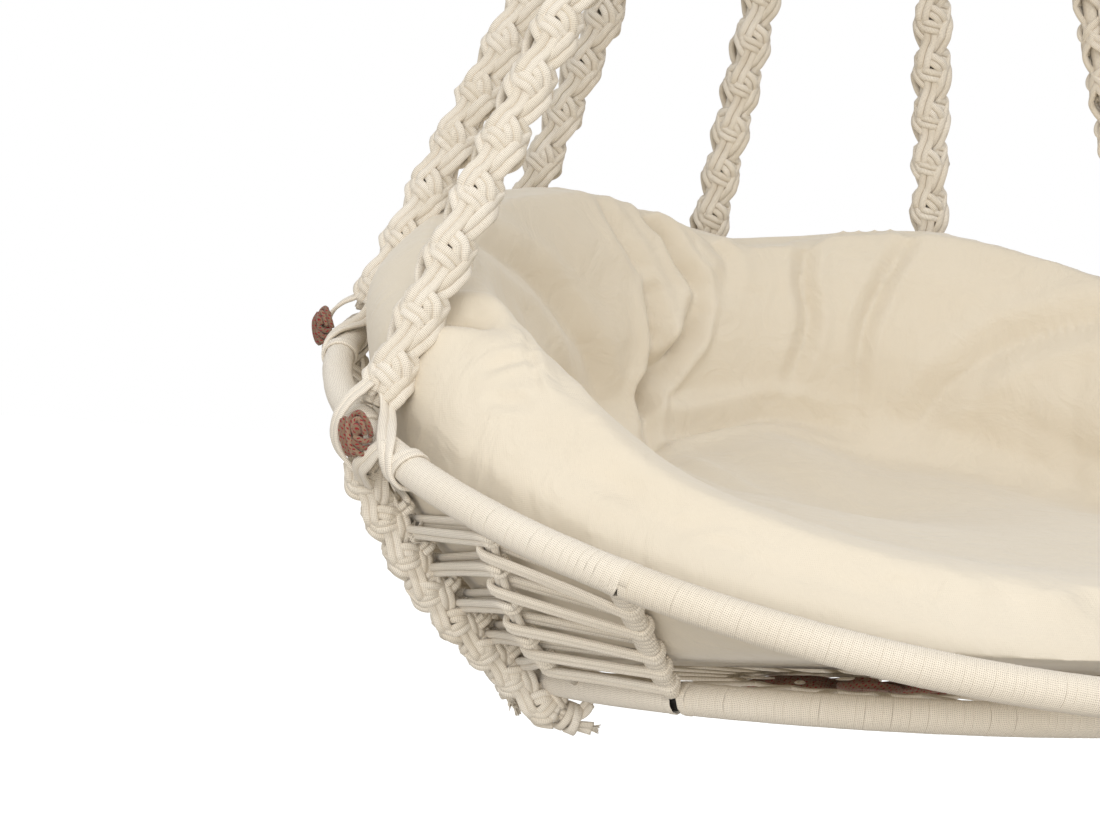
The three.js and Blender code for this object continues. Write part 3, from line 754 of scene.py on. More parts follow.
@dataclass(frozen=True)
class Column:
    """A column of the net, from an angle on the upper ring to an angle on the seat ring."""

    degrees: float
    foot: float
    bow: float

    @property
    def top(self) -> Array:
        """Where it meets the upper ring's axis."""
        return UPPER.at(self.degrees)

    @property
    def bottom(self) -> Array:
        """Where it meets the seat ring's axis."""
        return SEAT.at(self.foot)

    @property
    def length(self) -> float:
        """Its length from axis to axis."""
        return float(np.linalg.norm(self.bottom - self.top))

    @property
    def along(self) -> Array:
        """Its direction downwards."""
        return unit(self.bottom - self.top)

    @property
    def out(self) -> Array:
        """The direction out of the net."""
        return unit(np.cross(UPPER.tangent(self.degrees), self.along))

    @property
    def side(self) -> Array:
        """The direction round the rings."""
        return np.cross(self.along, self.out)

    def share(self, share: float) -> float:
        """Give the length at which a share of the clear height between the wraps ends."""
        gap = WRAP_RADIUS + 0.5
        return gap + share * (self.length - 2 * gap)

    def at(self, along: float, out: float = 0, side: float = 0) -> Array:
        """Give a point beside the column.

        Args:
            along: The length down it from the upper ring's axis.
            out: How far the point lies out of the bowed net.
            side: How far it lies to the side.

        Returns:
            The point.
        """
        knee = self.share(KNEE_SHARE)
        share = along / knee if along < knee else (self.length - along) / (self.length - knee)
        bow = self.bow * max(0.0, math.sin(min(1.0, share) * math.pi / 2))
        return self.top + self.along * along + self.out * (out + bow) + self.side * side


def net_columns() -> list[Column]:
    """Place all columns of the net.

    Returns:
        The columns in order round the ring, from the front on one side to the front on the other.
    """
    left = [(48.4, 56.5), (61.7, 76.0)]
    left += [(82 + (180 - 82) * i / 6, 86 + (180 - 86) * i / 6) for i in range(7)]
    right = [(360 - top, 360 - foot) for top, foot in reversed(left[:-1])]
    both = left + right
    return [
        Column(top, foot, 0 if i in (0, len(both) - 1) else NET_BOW) for i, (top, foot) in enumerate(both)
    ]


COLUMNS = net_columns()
ROPE_COLUMNS = [c for i, c in enumerate(COLUMNS) if 2 <= i <= len(COLUMNS) - 3 and i % 2 == 0]
PLAIN_COLUMNS = [c for c in COLUMNS if c not in ROPE_COLUMNS]


@dataclass
class HangingHead:
    """The steel ring, the cord loops over it and their whipped neck."""

    palette: Palette
    loop_cord: CordSize = CordSize(5.6, 3.4)
    whip_cord: CordSize = CordSize(4.9, 4.4)
    whip_turns: int = 9
    whip_pitch: float = 5.4

    def build_ring(self) -> None:
        """Make the welded steel ring."""
        bpy.ops.object.select_all(action="DESELECT")
        bpy.ops.mesh.primitive_torus_add(
            major_segments=96,
            minor_segments=24,
            major_radius=34 * MM,
            minor_radius=4 * MM,
            location=(0, 0, -30 * MM),
            rotation=(math.pi / 2, 0, 0),
        )
        ring = bpy.context.object
        ring.name = "steel_ring"
        bpy.ops.object.shade_smooth()
        bpy.ops.object.transform_apply(location=True, rotation=True, scale=True)
        self.palette.finish(ring, Slot.STEEL, "hanging_ring", body=ROOT)

    def build_eye(self) -> None:
        """Lay the loops over the ring's bar, and their cords down the neck."""
        mesh = CordMesh("eye_loops")
        for layer, (radius, count) in enumerate(((8.9, 4), (12.1, 4))):
            for i in range(count):
                x = (i - (count - 1) / 2) * self.loop_cord.width * 1.02
                points = []
                for side in (-1, 1):
                    leg = [(x * 0.55, side * (2.2 + 5.2 * layer), z) for z in (-162, -130, -100)]
                    leg.append((x * 0.8, side * radius * 0.8, -79))
                    points.append(leg)
                arc = [
                    (x, -radius * math.cos(a), HINGE_Z + radius * math.sin(a))
                    for a in np.linspace(0, math.pi, 9)
                ]
                path = spline(points[0] + arc + points[1][::-1], 3)
                middle = np.array([x, 0, HINGE_Z])
                facing = path - middle
                facing[path[:, 2] < -80] *= [0.2, 1, 0]
                mesh.strand(path, facing, self.loop_cord)
        for i in range(14):
            angle = 2 * math.pi * i / 14
            path = spline(
                [(11.6 * math.cos(angle), 11.6 * math.sin(angle), z) for z in (-163.5, -140, -92)], 3
            )
            path = np.vstack([path, [7.4 * math.cos(angle), 7.4 * math.sin(angle), -82]])
            mesh.cord(path, [math.cos(angle), math.sin(angle), 0], 5.2, 3.4)
        self.palette.finish(mesh.build(), Slot.CORD, "rope_eye")

    def build_whipping(self) -> None:
        """Wind the cord round the neck."""
        mesh = CordMesh("neck_whip")
        turns = np.linspace(0, self.whip_turns, self.whip_turns * 20 + 1)
        angle = 2 * math.pi * turns
        radius = 13.8 + self.whip_cord.thickness / 2
        path = np.stack(
            [radius * np.cos(angle), radius * np.sin(angle), -98 - self.whip_pitch * turns], axis=1
        )
        mesh.cord(path, path * [1, 1, 0], self.whip_cord.width, self.whip_cord.thickness)
        self.palette.finish(mesh.build(), Slot.CORD, "neck_whipping")

    def build(self) -> None:
        """Build all three."""
        self.build_ring()
        self.build_eye()
        self.build_whipping()


@dataclass
class WoundRing:
    """A steel tube wound with flat cord in two runs, with a bare slit beside each front column."""

    palette: Palette
    name: str
    ring: Ring
    slit_at: float
    slit: float
    leaning: str
    closing: float
    pitch: float = 5.0
    steps: int = 12
    closing_turns: float = 20.0

    def _wind(self, part: str, start: float, end: float) -> None:
        """Wind one run of cord over an arc.

        The first and the last turn lie square to the ring over their neighbours. The leaning run's end turns
        close the slit on top.

        Args:
            part: Which run it is, front or back.
            start: The angle where it starts.
            end: The angle where it ends.
        """
        mesh = CordMesh(f"{self.name}_winding_{part}")
        closing = self.closing if part == self.leaning else 0.0
        length = math.radians(end - start) * self.ring.radius - self.pitch
        turns = round(length / self.pitch) + 2
        total = turns * self.steps
        at = np.arange(total + 1) / self.steps
        knots = np.arange(turns + 1)
        random = mesh.random
        jitter = np.interp(at, knots, [random.uniform(-0.15, 0.15) * (1 < k < turns - 1) for k in knots])
        swell = np.interp(at, knots, [random.uniform(-0.08, 0.08) for _ in knots])
        swell += 0.35 * (np.clip(1.3 - at, 0, 0.3) + np.clip(at - turns + 1.3, 0, 0.3)) / 0.3
        advance = np.clip((at - 1) / (turns - 2), 0, 1) * length
        path, facing = np.empty((total + 1, 3)), np.empty((total + 1, 3))
        for k in range(total + 1):
            spin = -2 * math.pi * k / self.steps
            over = min(1.0, max(0.0, 0.9 + 1.3 * math.sin(spin + 0.2)))
            near_start = max(0.0, 1 - at[k] / self.closing_turns)
            near_end = max(0.0, 1 - (turns - at[k]) / self.closing_turns)
            along = self.pitch / 2 + advance[k] + jitter[k] + closing * over * (near_end - near_start)
            degrees = start + self.ring.angle_of(along)
            away = math.cos(spin) * self.ring.outward(degrees) + math.sin(spin) * self.ring.normal
            path[k] = self.ring.at(degrees) + away * (9.25 + swell[k])
            facing[k] = away
        mesh.cord(path, facing, self.pitch * 1.07, 1.7, section=Section.TAPE)
        node = f"{self.name}_wrap_{part}"
        self.palette.finish(mesh.build(), Slot.CORD, node)

    def build(self) -> None:
        """Wind both runs, and leave the tube bare between them."""
        half = self.ring.angle_of(self.slit / 2)
        self._wind("front", half - self.slit_at, self.slit_at - half)
        self._wind("back", self.slit_at + half, 360 - self.slit_at - half)


@dataclass
class HangingRope:
    """One knotted rope from the neck to the upper ring."""

    palette: Palette
    number: int
    column: Column
    neck_radius: float = 9.4
    lashing_gap: float = 14.5
    bundle: float = 150.0
    lump: float = 41.0
    radius: float = 16.2
    band: CordSize = CordSize(6.5, 4.5, 2)
    bar: CordSize = CordSize(5.8, 4.3, 2)
    # How far each rope's face is turned from the front, in degrees
    faces: tuple[float, ...] = (21, 34, 27, 14, 32, -14, -25)
    far: tuple[int, ...] = (3, 4, 5)

    def guide(self) -> Guide:
        """Give the rope's line.

        Returns:
            The line from the neck down to the rope's lashing.
        """
        i = self.number - 1
        turn = 2 * math.pi * (i + 0.5) / len(self.faces)
        start = np.array(
            [-self.neck_radius * math.sin(turn), -self.neck_radius * math.cos(turn), NECK_BOTTOM - 0.5]
        )
        end = self.column.top - unit(self.column.top - start) * self.lashing_gap
        looks = math.radians(self.faces[i])
        return Guide(np.linspace(start, end, 40), np.array([-math.sin(looks), -math.cos(looks), 0]))

    def build_rope(self, guide: Guide, count: int) -> None:
        """Weave the loose cords at the top, the lumps below them and the filling inside.

        Args:
            guide: The line of the rope.
            count: The number of lumps.
        """
        mesh = CordMesh(f"knotted_rope_{self.number}")
        pitch = (guide.length - self.bundle) / count
        section = Section.SLIM if self.number in self.far else Section.SOFT
        knot = Knot(pitch, self.radius, self.band, self.bar, section)
        for i in range(4):
            angle = 2 * math.pi * (i + 0.5) / 4
            radii = [(0, 1.9), (20, 1.9), (90, 3.4), (self.bundle + 4, 5.6)]
            local = spline([(r * math.cos(angle), r * math.sin(angle), z) for z, r in radii], 6)
            mesh.cord(guide.place(local), guide.turn(local), 4.6, 3.0)
        for k in range(count):
            drift = math.radians(7 * math.sin(k * 1.7 + self.number))
            knot.weave(mesh, guide, self.bundle + (k + 0.5) * pitch, drift, (k == 0, k == count - 1))
        for side in (-6.3, 0, 6.3):
            heart = [(side, 0, z) for z in np.linspace(self.bundle - 4, guide.length - 2, 50)]
            mesh.cord(guide.place(heart), guide.face[0], 7.4, 12.5, section=Section.ROUND)
        self.palette.finish(mesh.build(), Slot.CORD, f"hang_braid_{self.number}")

    def build_core(self, guide: Guide, count: int) -> None:
        """Wind the core cord round the filling, where it shows between the lumps.

        Args:
            guide: The line of the rope.
            count: The number of lumps.
        """
        core = CordMesh(f"rope_core_{self.number}")
        spin = np.linspace(0, 2 * math.pi * count / 3.4, 12 * count) + self.number
        down = np.linspace(self.bundle, guide.length - 4, len(spin))
        local = np.stack([6.0 * np.cos(spin), 7.8 * np.sin(spin), down], axis=1)
        core.strand(guide.place(local), guide.turn(local), CordSize(2.8, 2.4, 2))
        self.palette.finish(core.build(), Slot.CORE)

    def build(self) -> None:
        """Build the rope and its core."""
        guide = self.guide()
        count = round((guide.length - self.bundle) / self.lump)
        self.build_rope(guide, count)
        self.build_core(guide, count)


@dataclass
class Joint:
    """The cords that tie a rope to the upper ring, and its knot of core cord.

    The tables hold (along the ring towards the front, outward, up) from where the rope meets the ring.
    """

    palette: Palette
    number: int
    column: Column
    band: CordSize = CordSize(6.0, 3.0, 2)
    turn_radius: float = 11.0

    STRAIGHT = (
        (-2, -9, 25), (6, -9, 19), (17, -6, 14.6), (34, 1.7, 12.6), (48, 8, 9.6),
        (57, 11.8, 3), (60, 10.5, -5.5), (62, 5, -11), (63, -3, -12),
    )
    BOW = (
        (-5, 0, 30), (-3.8, 6, 25), (0, 13.5, 20), (3, 20, 11),
        (4, 21.6, 0), (7, 19.5, -9), (13, 14, -16), (19, 8, -21),
    )
    CROSS = ((52, 8.6, 8), (46, 11, 5.5), (38, 13.6, -4.5), (30, 13.8, -13), (23, 8, -22), (18, 3, -29))
    UNDER = ((-4, -13, 16), (-2, -14, 4), (2, -11, -8), (8, -4, -16), (14, 3, -21), (16, 4, -29))
    # The core knot's cords, as (right, up, towards the viewer) from its middle
    CORE = (
        (
            (-9, -1, -1), (-9.2, 4, 2), (-6.6, 9.5, 3.5), (-2.4, 12.6, 3), (1.4, 10.5, 3.5), (2.2, 5, 4.5),
            (0.6, 0.5, 4),
        ),
        ((-6.4, 0, 2), (-6, 5, 4.5), (-3.4, 8.8, 5.5), (-0.8, 7.5, 6), (-0.8, 3, 6), (-1.8, -0.5, 5)),
        ((-3.6, 0.8, 4.5), (-3.4, 3.6, 6.2), (-2.4, 5.2, 6.8), (-2, 2.6, 6.6), (-2.6, -0.5, 5)),
        ((4.2, 9, 2.5), (3.2, 3, 5.5), (1.6, -3.5, 5.8), (0.6, -10, 3.5), (0, -13, 0)),
        ((7.4, 9, 2), (6.4, 3, 5), (4.6, -4, 5), (3.2, -10, 3), (2.4, -13, -0.5)),
        ((10, 7.5, -1), (9.4, 2, 2.4), (7.6, -5, 2.6), (5.8, -11, 0.5), (4.8, -13, -2)),
        ((-9.4, -3, -1), (-6.6, -4, 3), (-3.4, -2.6, 5), (-1, -1, 5.5)),
        ((-8.6, -7.5, -1), (-5.8, -8, 3), (-2.6, -5.8, 5), (0.2, -3.6, 5)),
        ((-6.4, -11.5, -1.5), (-4, -11.6, 2), (-1.4, -9.6, 3.6), (0.8, -7.4, 4)),
    )

    @property
    def sense(self) -> float:
        """Which way round the ring the front lies."""
        return -1.0 if self.column.degrees > 180.5 else 1.0

    def _degrees(self, front: float) -> float:
        """Give the angle on the upper ring at a length towards the front."""
        return self.column.degrees - self.sense * UPPER.angle_of(front)

    def _lay(self, mesh: CordMesh, table: Table, size: CordSize, closed: bool = False) -> None:
        """Lay a strand whose flat face looks away from the ring's axis.

        Args:
            mesh: Where its cords go.
            table: The strand's points.
            size: The section of its cords.
            closed: Whether the strand joins its own start.
        """
        path = np.array([UPPER.at(self._degrees(front), out, up) for front, out, up in table])
        facing = [UPPER.outward(self._degrees(front)) * out + UPPER.normal * up for front, out, up in table]
        mesh.strand(path, np.array(facing), size, closed)

    def _turns(self, mesh: CordMesh, middle: float, count: int, lean: float, size: CordSize) -> None:
        """Wrap turns of a strand round the wound ring.

        Args:
            mesh: Where the cords go.
            middle: The length from the rope to the turns' middle.
            count: The number of turns.
            lean: How far a turn leans along the ring.
            size: The section of the strand's cords.
        """
        radius = self.turn_radius
        for i in range(count):
            centre = middle + (i - (count - 1) / 2) * size.width * size.ply * 0.98
            angles = [2 * math.pi * step / 20 for step in range(20)]
            turn = [(centre + lean * math.sin(a), radius * math.cos(a), radius * math.sin(a)) for a in angles]
            self._lay(mesh, turn, size, closed=True)

    def build_ties(self) -> None:
        """Tie the rope to the ring."""
        mesh = CordMesh(f"ring_tie_{self.number}")
        self._turns(mesh, 62, 1, 5, CordSize(5.2, 2.2, 2))
        self._turns(mesh, 0, 2, -3, CordSize(5.4, 2.8, 2))
        for table in (self.STRAIGHT, self.BOW, self.CROSS, self.UNDER):
            self._lay(mesh, spline(table, 5), self.band)
        self.palette.finish(mesh.build(), Slot.CORD, f"ring_lashing_{self.number}")

    def build_core_knot(self) -> None:
        """Knot the core cord beside the tie: arcs on one side, and two cords down the other."""
        mesh = CordMesh(f"core_ball_{self.number}")
        degrees = self._degrees(28.5)
        rise = math.radians(25)
        middle = UPPER.at(degrees, 20 * math.cos(rise), 20 * math.sin(rise))
        look = unit(
            UPPER.outward(degrees) * 0.7 - UPPER.tangent(degrees) * 0.6 * self.sense + UPPER.normal * 0.2
        )
        right = unit(np.cross(look, [0, 0, 1.0]))
        frame = np.stack([right * self.sense, np.cross(right, look), look])
        for table in self.CORE:
            local = spline(table, 5)
            facing = (local * [1, 0.4, 1] + [0, 0, 4]) @ frame
            mesh.cord(middle + local @ frame, facing, 3.5, 3.3, section=Section.ROUND)
        heart = np.array([(0, y, -1.5) for y in (11.5, 10, 6, 0, -6, -10, -11.5)], float)
        girth = np.array([2, 5, 7.5, 8, 7.5, 5, 2])
        mesh.cord(middle + heart @ frame, look, girth, girth * 0.8, section=Section.ROUND)
        self.palette.finish(mesh.build(), Slot.CORE, f"core_knot_{self.number}")

    def build(self) -> None:
        """Build the ties and the core knot."""
        self.build_ties()
        self.build_core_knot()


@dataclass
class SideRope:
    """A rope's end, knotted down the outside of the net to an end knot and a frayed tail."""

    palette: Palette
    number: int
    column: Column
    lump: float = 29.0
    radius: float = 12.8
    band: CordSize = CordSize(5.2, 3.7, 2)
    bar: CordSize = CordSize(4.7, 3.5, 2)
    tail: CordSize = CordSize(5.0, 3.4, 2)
    offset: float = 15.0
    end_offset: float = 21.0

    CLEAR_SHARES = (0.31, 0.42, 0.53, 0.64, 0.75, 0.86)

    @property
    def foremost(self) -> bool:
        """Whether the rope is one of the two nearest to the front."""
        return self.number in (1, 7)

    @property
    def sense(self) -> int:
        """Which way round the ring the front lies."""
        return -1 if self.column.degrees > 180.5 else 1

    def guide(self) -> Guide:
        """Give the braid's line.

        Returns:
            The line from under the tie, down over the net and out past the seat ring.
        """
        c = self.column
        over = 13.0 if self.foremost else self.offset
        rows = [(12, 9.5, 0), (26, 13, 0), (44, over, 0)]
        rows += [(c.length * share, over, 0) for share in self.CLEAR_SHARES]
        if self.foremost:
            rows += [(c.length - 12, 15, -2), (c.length + 3, 15.5, -6)]
            rows += [(c.length + 13, 12, -9), (c.length + 20, 8, -11)]
            look = math.radians(12)
        else:
            rows += [(c.length - 12, self.end_offset - 2, 0), (c.length + 3, self.end_offset, 0)]
            look = math.radians(abs(c.degrees - 20) if self.number == 2 else c.degrees)
        points = spline([c.at(along, out, side * self.sense) for along, out, side in rows], 8)
        face = np.array([-math.sin(look), -math.cos(look), 0])
        if self.number == 7:
            face[0] *= -1
        if self.number in (3, 4, 5, 6):
            face = face * 0.6 + c.out * 0.7
        return Guide(points, face)

    def build_end(self, mesh: CordMesh, guide: Guide) -> None:
        """Tie the end knot, and let two tails burst out of it.

        Args:
            mesh: Where the cords go.
            guide: The line of the rope's end.
        """
        end = guide.length
        for k, (drop, tilt) in enumerate(((2, 0.3), (6, -0.5), (10, 0.4))):
            angles = np.linspace(0, 2 * math.pi, 16, endpoint=False)
            down = end + drop + 4.5 * tilt * np.cos(angles + k)
            local = np.stack([8.6 * np.cos(angles), 8.6 * np.sin(angles), down], axis=1)
            mesh.cord(guide.place(local), guide.turn(local), 5.4, 4.2, closed=True)
        way = self.sense
        tails = [((4 * way, 3), (15 * way, 6, 13), 6.3), ((-3 * way, 2), (-1 * way, 3, 22), 5.6)]
        for (x, y), (tx, ty, reach), fibre in tails:
            local = spline([(x, y, end - 4), (x * 1.1, y * 1.1, end + 9), (tx, ty, end + reach)], 6)
            path = guide.place(local)
            mesh.strand(path, guide.turn(local), self.tail)
            mesh.fray(path[-1], path[-1] - path[-3], fibre, 0.28, 26)

    def build(self) -> None:
        """Weave the lumps over their filling, then the end."""
        mesh = CordMesh(f"side_rope_{self.number}")
        guide = self.guide()
        count = max(3, round(guide.length / self.lump))
        pitch = guide.length / count
        knot = Knot(pitch, self.radius, self.band, self.bar, Section.SOFT if self.foremost else Section.SLIM)
        for k in range(count):
            drift = math.radians(14 * math.sin(k * 2.3 + self.number))
            knot.weave(mesh, guide, (k + 0.5) * pitch, drift, (k == 0, k == count - 1))
        heart = [(0, 0, z) for z in np.linspace(3, guide.length, 30)]
        mesh.cord(guide.place(heart), guide.face[0], 12, 12, section=Section.ROUND)
        self.build_end(mesh, guide)
        self.palette.finish(mesh.build(), Slot.CORD, f"side_braid_{self.number}")


@dataclass
class SideNet:
    """The plain columns, and in each bay between two columns five loops of paired cord round both."""

    palette: Palette
    pair: CordSize = CordSize(5.1, 4.6, 2)
    off: float = 4.9
    reach: float = 5.2

    FRONT_IN = (0.02, 0.16, 0.35, 0.56, 0.73)
    FRONT_OUT = (0.10, 0.27, 0.48, 0.66, 0.825)
    FRONT_END = (0.18, 0.36, 0.59, 0.745, 0.91)
    BACK_IN = (0.22, 0.37, 0.53, 0.7, 0.86)
    BACK_OUT = (0.3, 0.46, 0.62, 0.78, 0.93)

    def _share(self, column: int, bay: int, row: int) -> float:
        """Give where a bay's loop crosses a column: bays on its two sides take turns down it.

        Args:
            column: The column's place round the ring.
            bay: The bay's place round the ring.
            row: The loop's row.

        Returns:
            The share of the column's clear height.
        """
        last = len(COLUMNS) - 1
        near = min(column, last - column)
        if near == 0:
            return self.FRONT_END[row]
        frontward = (bay < column) == (column <= last / 2)
        if near == 1:
            return (self.FRONT_OUT if frontward else self.FRONT_IN)[row]
        return (self.BACK_OUT if frontward else self.BACK_IN)[row]

    def _loop(self, mesh: CordMesh, bay: int, row: int) -> None:
        """Lay one loop of paired cord round the two columns of a bay.

        Args:
            mesh: Where the cords go.
            bay: The bay's place round the ring.
            row: The loop's row.
        """
        a, b = COLUMNS[bay], COLUMNS[bay + 1]
        foot_a, foot_b = a.share(self._share(bay, bay, row)), b.share(self._share(bay + 1, bay, row))
        onward = np.sign((COLUMNS[1].top - COLUMNS[0].top).dot(COLUMNS[0].side))
        slack = mesh.random.uniform(-0.6, 0.6)
        off = self.off
        path, facing = [], []

        def beside(column: Column, foot: float, out: float, side: float, lean: float) -> None:
            """Take the cord past a column, at lengths out and onward, with its face leaning onward."""
            path.append(column.at(foot, out, side * onward))
            facing.append(column.out * math.cos(lean) + column.side * onward * math.sin(lean))

        def between(share: float, out: float, sag: float) -> None:
            """Take the cord over a share of the bay, out of the net by a length, with a sag."""
            path.append(a.at(foot_a, out) * (1 - share) + b.at(foot_b, out) * share + [0, 0, sag])
            facing.append(unit(a.out * (1 - share) + b.out * share) * np.sign(out))

        beside(a, foot_a, off, 0, 0)
        between(0.33, off, slack)
        between(0.67, off, slack)
        beside(b, foot_b, off, 0, 0)
        bends = [math.pi / 4, math.pi / 2, 3 * math.pi / 4]
        for angle in bends:
            beside(b, foot_b, off * math.cos(angle), self.reach + 2.5 * math.sin(angle) - 1, angle)
        for share in (1.0, 0.5, 0.0):
            between(share, -off, 0)
        for angle in reversed(bends):
            beside(a, foot_a, off * math.cos(angle), -(self.reach + 2.5 * math.sin(angle) - 1), -angle)
        path, facing = spline(np.array(path), 3, True), spline(np.array(facing), 3, True)
        mesh.strand(path, facing, self.pair, closed=True, section=Section.ROUND)

    def build_rows(self) -> None:
        """Lay every bay's loops, one piece to a row."""
        for row in range(5):
            mesh = CordMesh(f"net_loops_{row + 1}")
            for bay in range(len(COLUMNS) - 1):
                self._loop(mesh, bay, row)
            if row == 1:
                column = COLUMNS[2]
                root = column.at(column.share(0.3), 6, -15)
                mesh.fray(root, [0.5, 0.2, 0.4], 13, 0.5, 30)
            self.palette.finish(mesh.build(), Slot.CORD, f"net_row_{row + 1}")

    def _coil(self, mesh: CordMesh, column: Column) -> None:
        """Wind a cord round a column, under the ends of its loops.

        Args:
            mesh: Where the cord goes.
            column: The column.
        """
        turns = int((column.length - 26) / self.pair.width)
        path, facing = [], []
        for k in range(turns * 12 + 1):
            angle = 2 * math.pi * k / 12
            along = 13 + (column.length - 26) * k / (turns * 12)
            path.append(column.at(along, 4.1 * math.cos(angle), 6.6 * math.sin(angle)))
            facing.append(column.out * math.cos(angle) + column.side * math.sin(angle))
        mesh.cord(np.array(path), np.array(facing), self.pair.width, 2.8)

    def build_columns(self) -> None:
        """Run a pair of cords down each plain column."""
        for number, column in enumerate(PLAIN_COLUMNS, 1):
            mesh = CordMesh(f"net_post_{number}")
            lengths = np.linspace(10.5, column.length - 10.5, 12)
            path = np.array([column.at(s) for s in lengths])
            mesh.strand(path, column.out, self.pair, section=Section.ROUND)
            if column in (COLUMNS[0], COLUMNS[-1]):
                self._coil(mesh, column)
            self.palette.finish(mesh.build(), Slot.CORD, f"net_column_{number}")

    def build(self) -> None:
        """Build rows and columns."""
        self.build_columns()
        self.build_rows()


@dataclass
class SeatBottom:
    """The seat net's paired spokes and hoops, and the flower of looped core cord in its middle."""

    palette: Palette
    spokes: int = 18
    hoops: tuple[float, ...] = (87.5, 91.8, 155.8, 160.2)
    petals: int = 8
    petal_root: float = 24.0
    rise: float = 9.0

    def _at(self, degrees: float, radius: float, up: float) -> Array:
        """Give the point at an angle and a radius in the seat ring, raised by a length."""
        return SEAT.at(degrees, radius - SEAT.radius, up)

    def _raised(self, degrees: float) -> float:
        """Give how far the flower's rim stands up at an angle: only its front half does."""
        return self.rise * max(0.0, math.cos(math.radians(degrees)))

    def build_net(self) -> None:
        """Lay the spokes and the hoops."""
        mesh = CordMesh("seat_webbing")
        for i in range(self.spokes):
            degrees = 360 * i / self.spokes
            path = spline(
                [self._at(degrees, r, z) for r, z in ((86, 0.2), (120, 0), (160, -0.2), (229, 0))], 3
            )
            mesh.strand(path, SEAT.normal, CordSize(4.6, 3.0, 2))
        for radius in self.hoops:
            rows = np.linspace(0, 360, 108, endpoint=False)
            wave = 0.5 * np.cos(np.radians(rows) * self.spokes)
            path = np.array([self._at(a, radius, w) for a, w in zip(rows, wave)])
            mesh.cord(path, SEAT.normal, 4.4, 3.0, closed=True)
        self.palette.finish(mesh.build(), Slot.CORD, "seat_net")

    def build_flower(self) -> None:
        """Loop the core cord into petals round a knotted middle."""
        mesh = CordMesh("core_flower")
        turns = [360 * (petal + 0.5) / self.petals for petal in range(self.petals)]
        root = self.petal_root
        for turn in turns:
            for k, (reach, spread) in enumerate(((83, 20.5), (71, 14.5), (59, 9.0))):
                table = []
                for angle in np.linspace(-math.pi, math.pi, 15):
                    radius = root + (reach - root) * (0.5 + 0.5 * math.cos(angle))
                    swing = spread * math.sin(angle) * (0.55 + 0.45 * math.cos(angle / 2))
                    up = 0.9 * k - 3.2 + self._raised(turn + swing) * (radius / reach) ** 2
                    table.append(self._at(turn + swing, radius, up + 1.6 * math.sin(angle)))
                mesh.cord(spline(table, 2), SEAT.normal, 5.6, 4.6)
        for ring, (radius, up) in enumerate(((22, -2.2), (14, -4), (7, -5.2))):
            angles = np.linspace(0, 360, 30, endpoint=False)
            path = np.array(
                [self._at(a, radius, up + 1.2 * math.sin(math.radians(a * 4 + ring))) for a in angles]
            )
            mesh.cord(path, SEAT.normal, 6.2, 4.6, closed=True)
        self.palette.finish(mesh.build(), Slot.CORE, "seat_flower")
        tips = CordMesh("cord_tips")
        widths = np.array([2, 5, 7, 7.6, 6.4, 3.6, 0.6])
        thicknesses = np.array([1.2, 1.6, 1.8, 1.8, 1.4, 1, 0.4])
        for turn in turns:
            raised = self._raised(turn)
            for side in (-1, 1):
                start = self._at(turn + side * 9, 78, 1 + raised)
                end = self._at(turn + side * 15, 100, 0.6 + raised)
                tips.cord(np.linspace(start, end, len(widths)), SEAT.normal, widths, thicknesses)
        self.palette.finish(tips.build(), Slot.CORD)

    def build(self) -> None:
        """Build the net and its flower."""
        self.build_net()
        self.build_flower()


@dataclass(frozen=True)
class Fold:
    """A crease in the cushion: a line of points near its surface, with depth, width and a ridge beside it."""

    points: tuple[tuple[float, float, float], ...]
    depth: float
    width: float
    ridge: float = 0.25


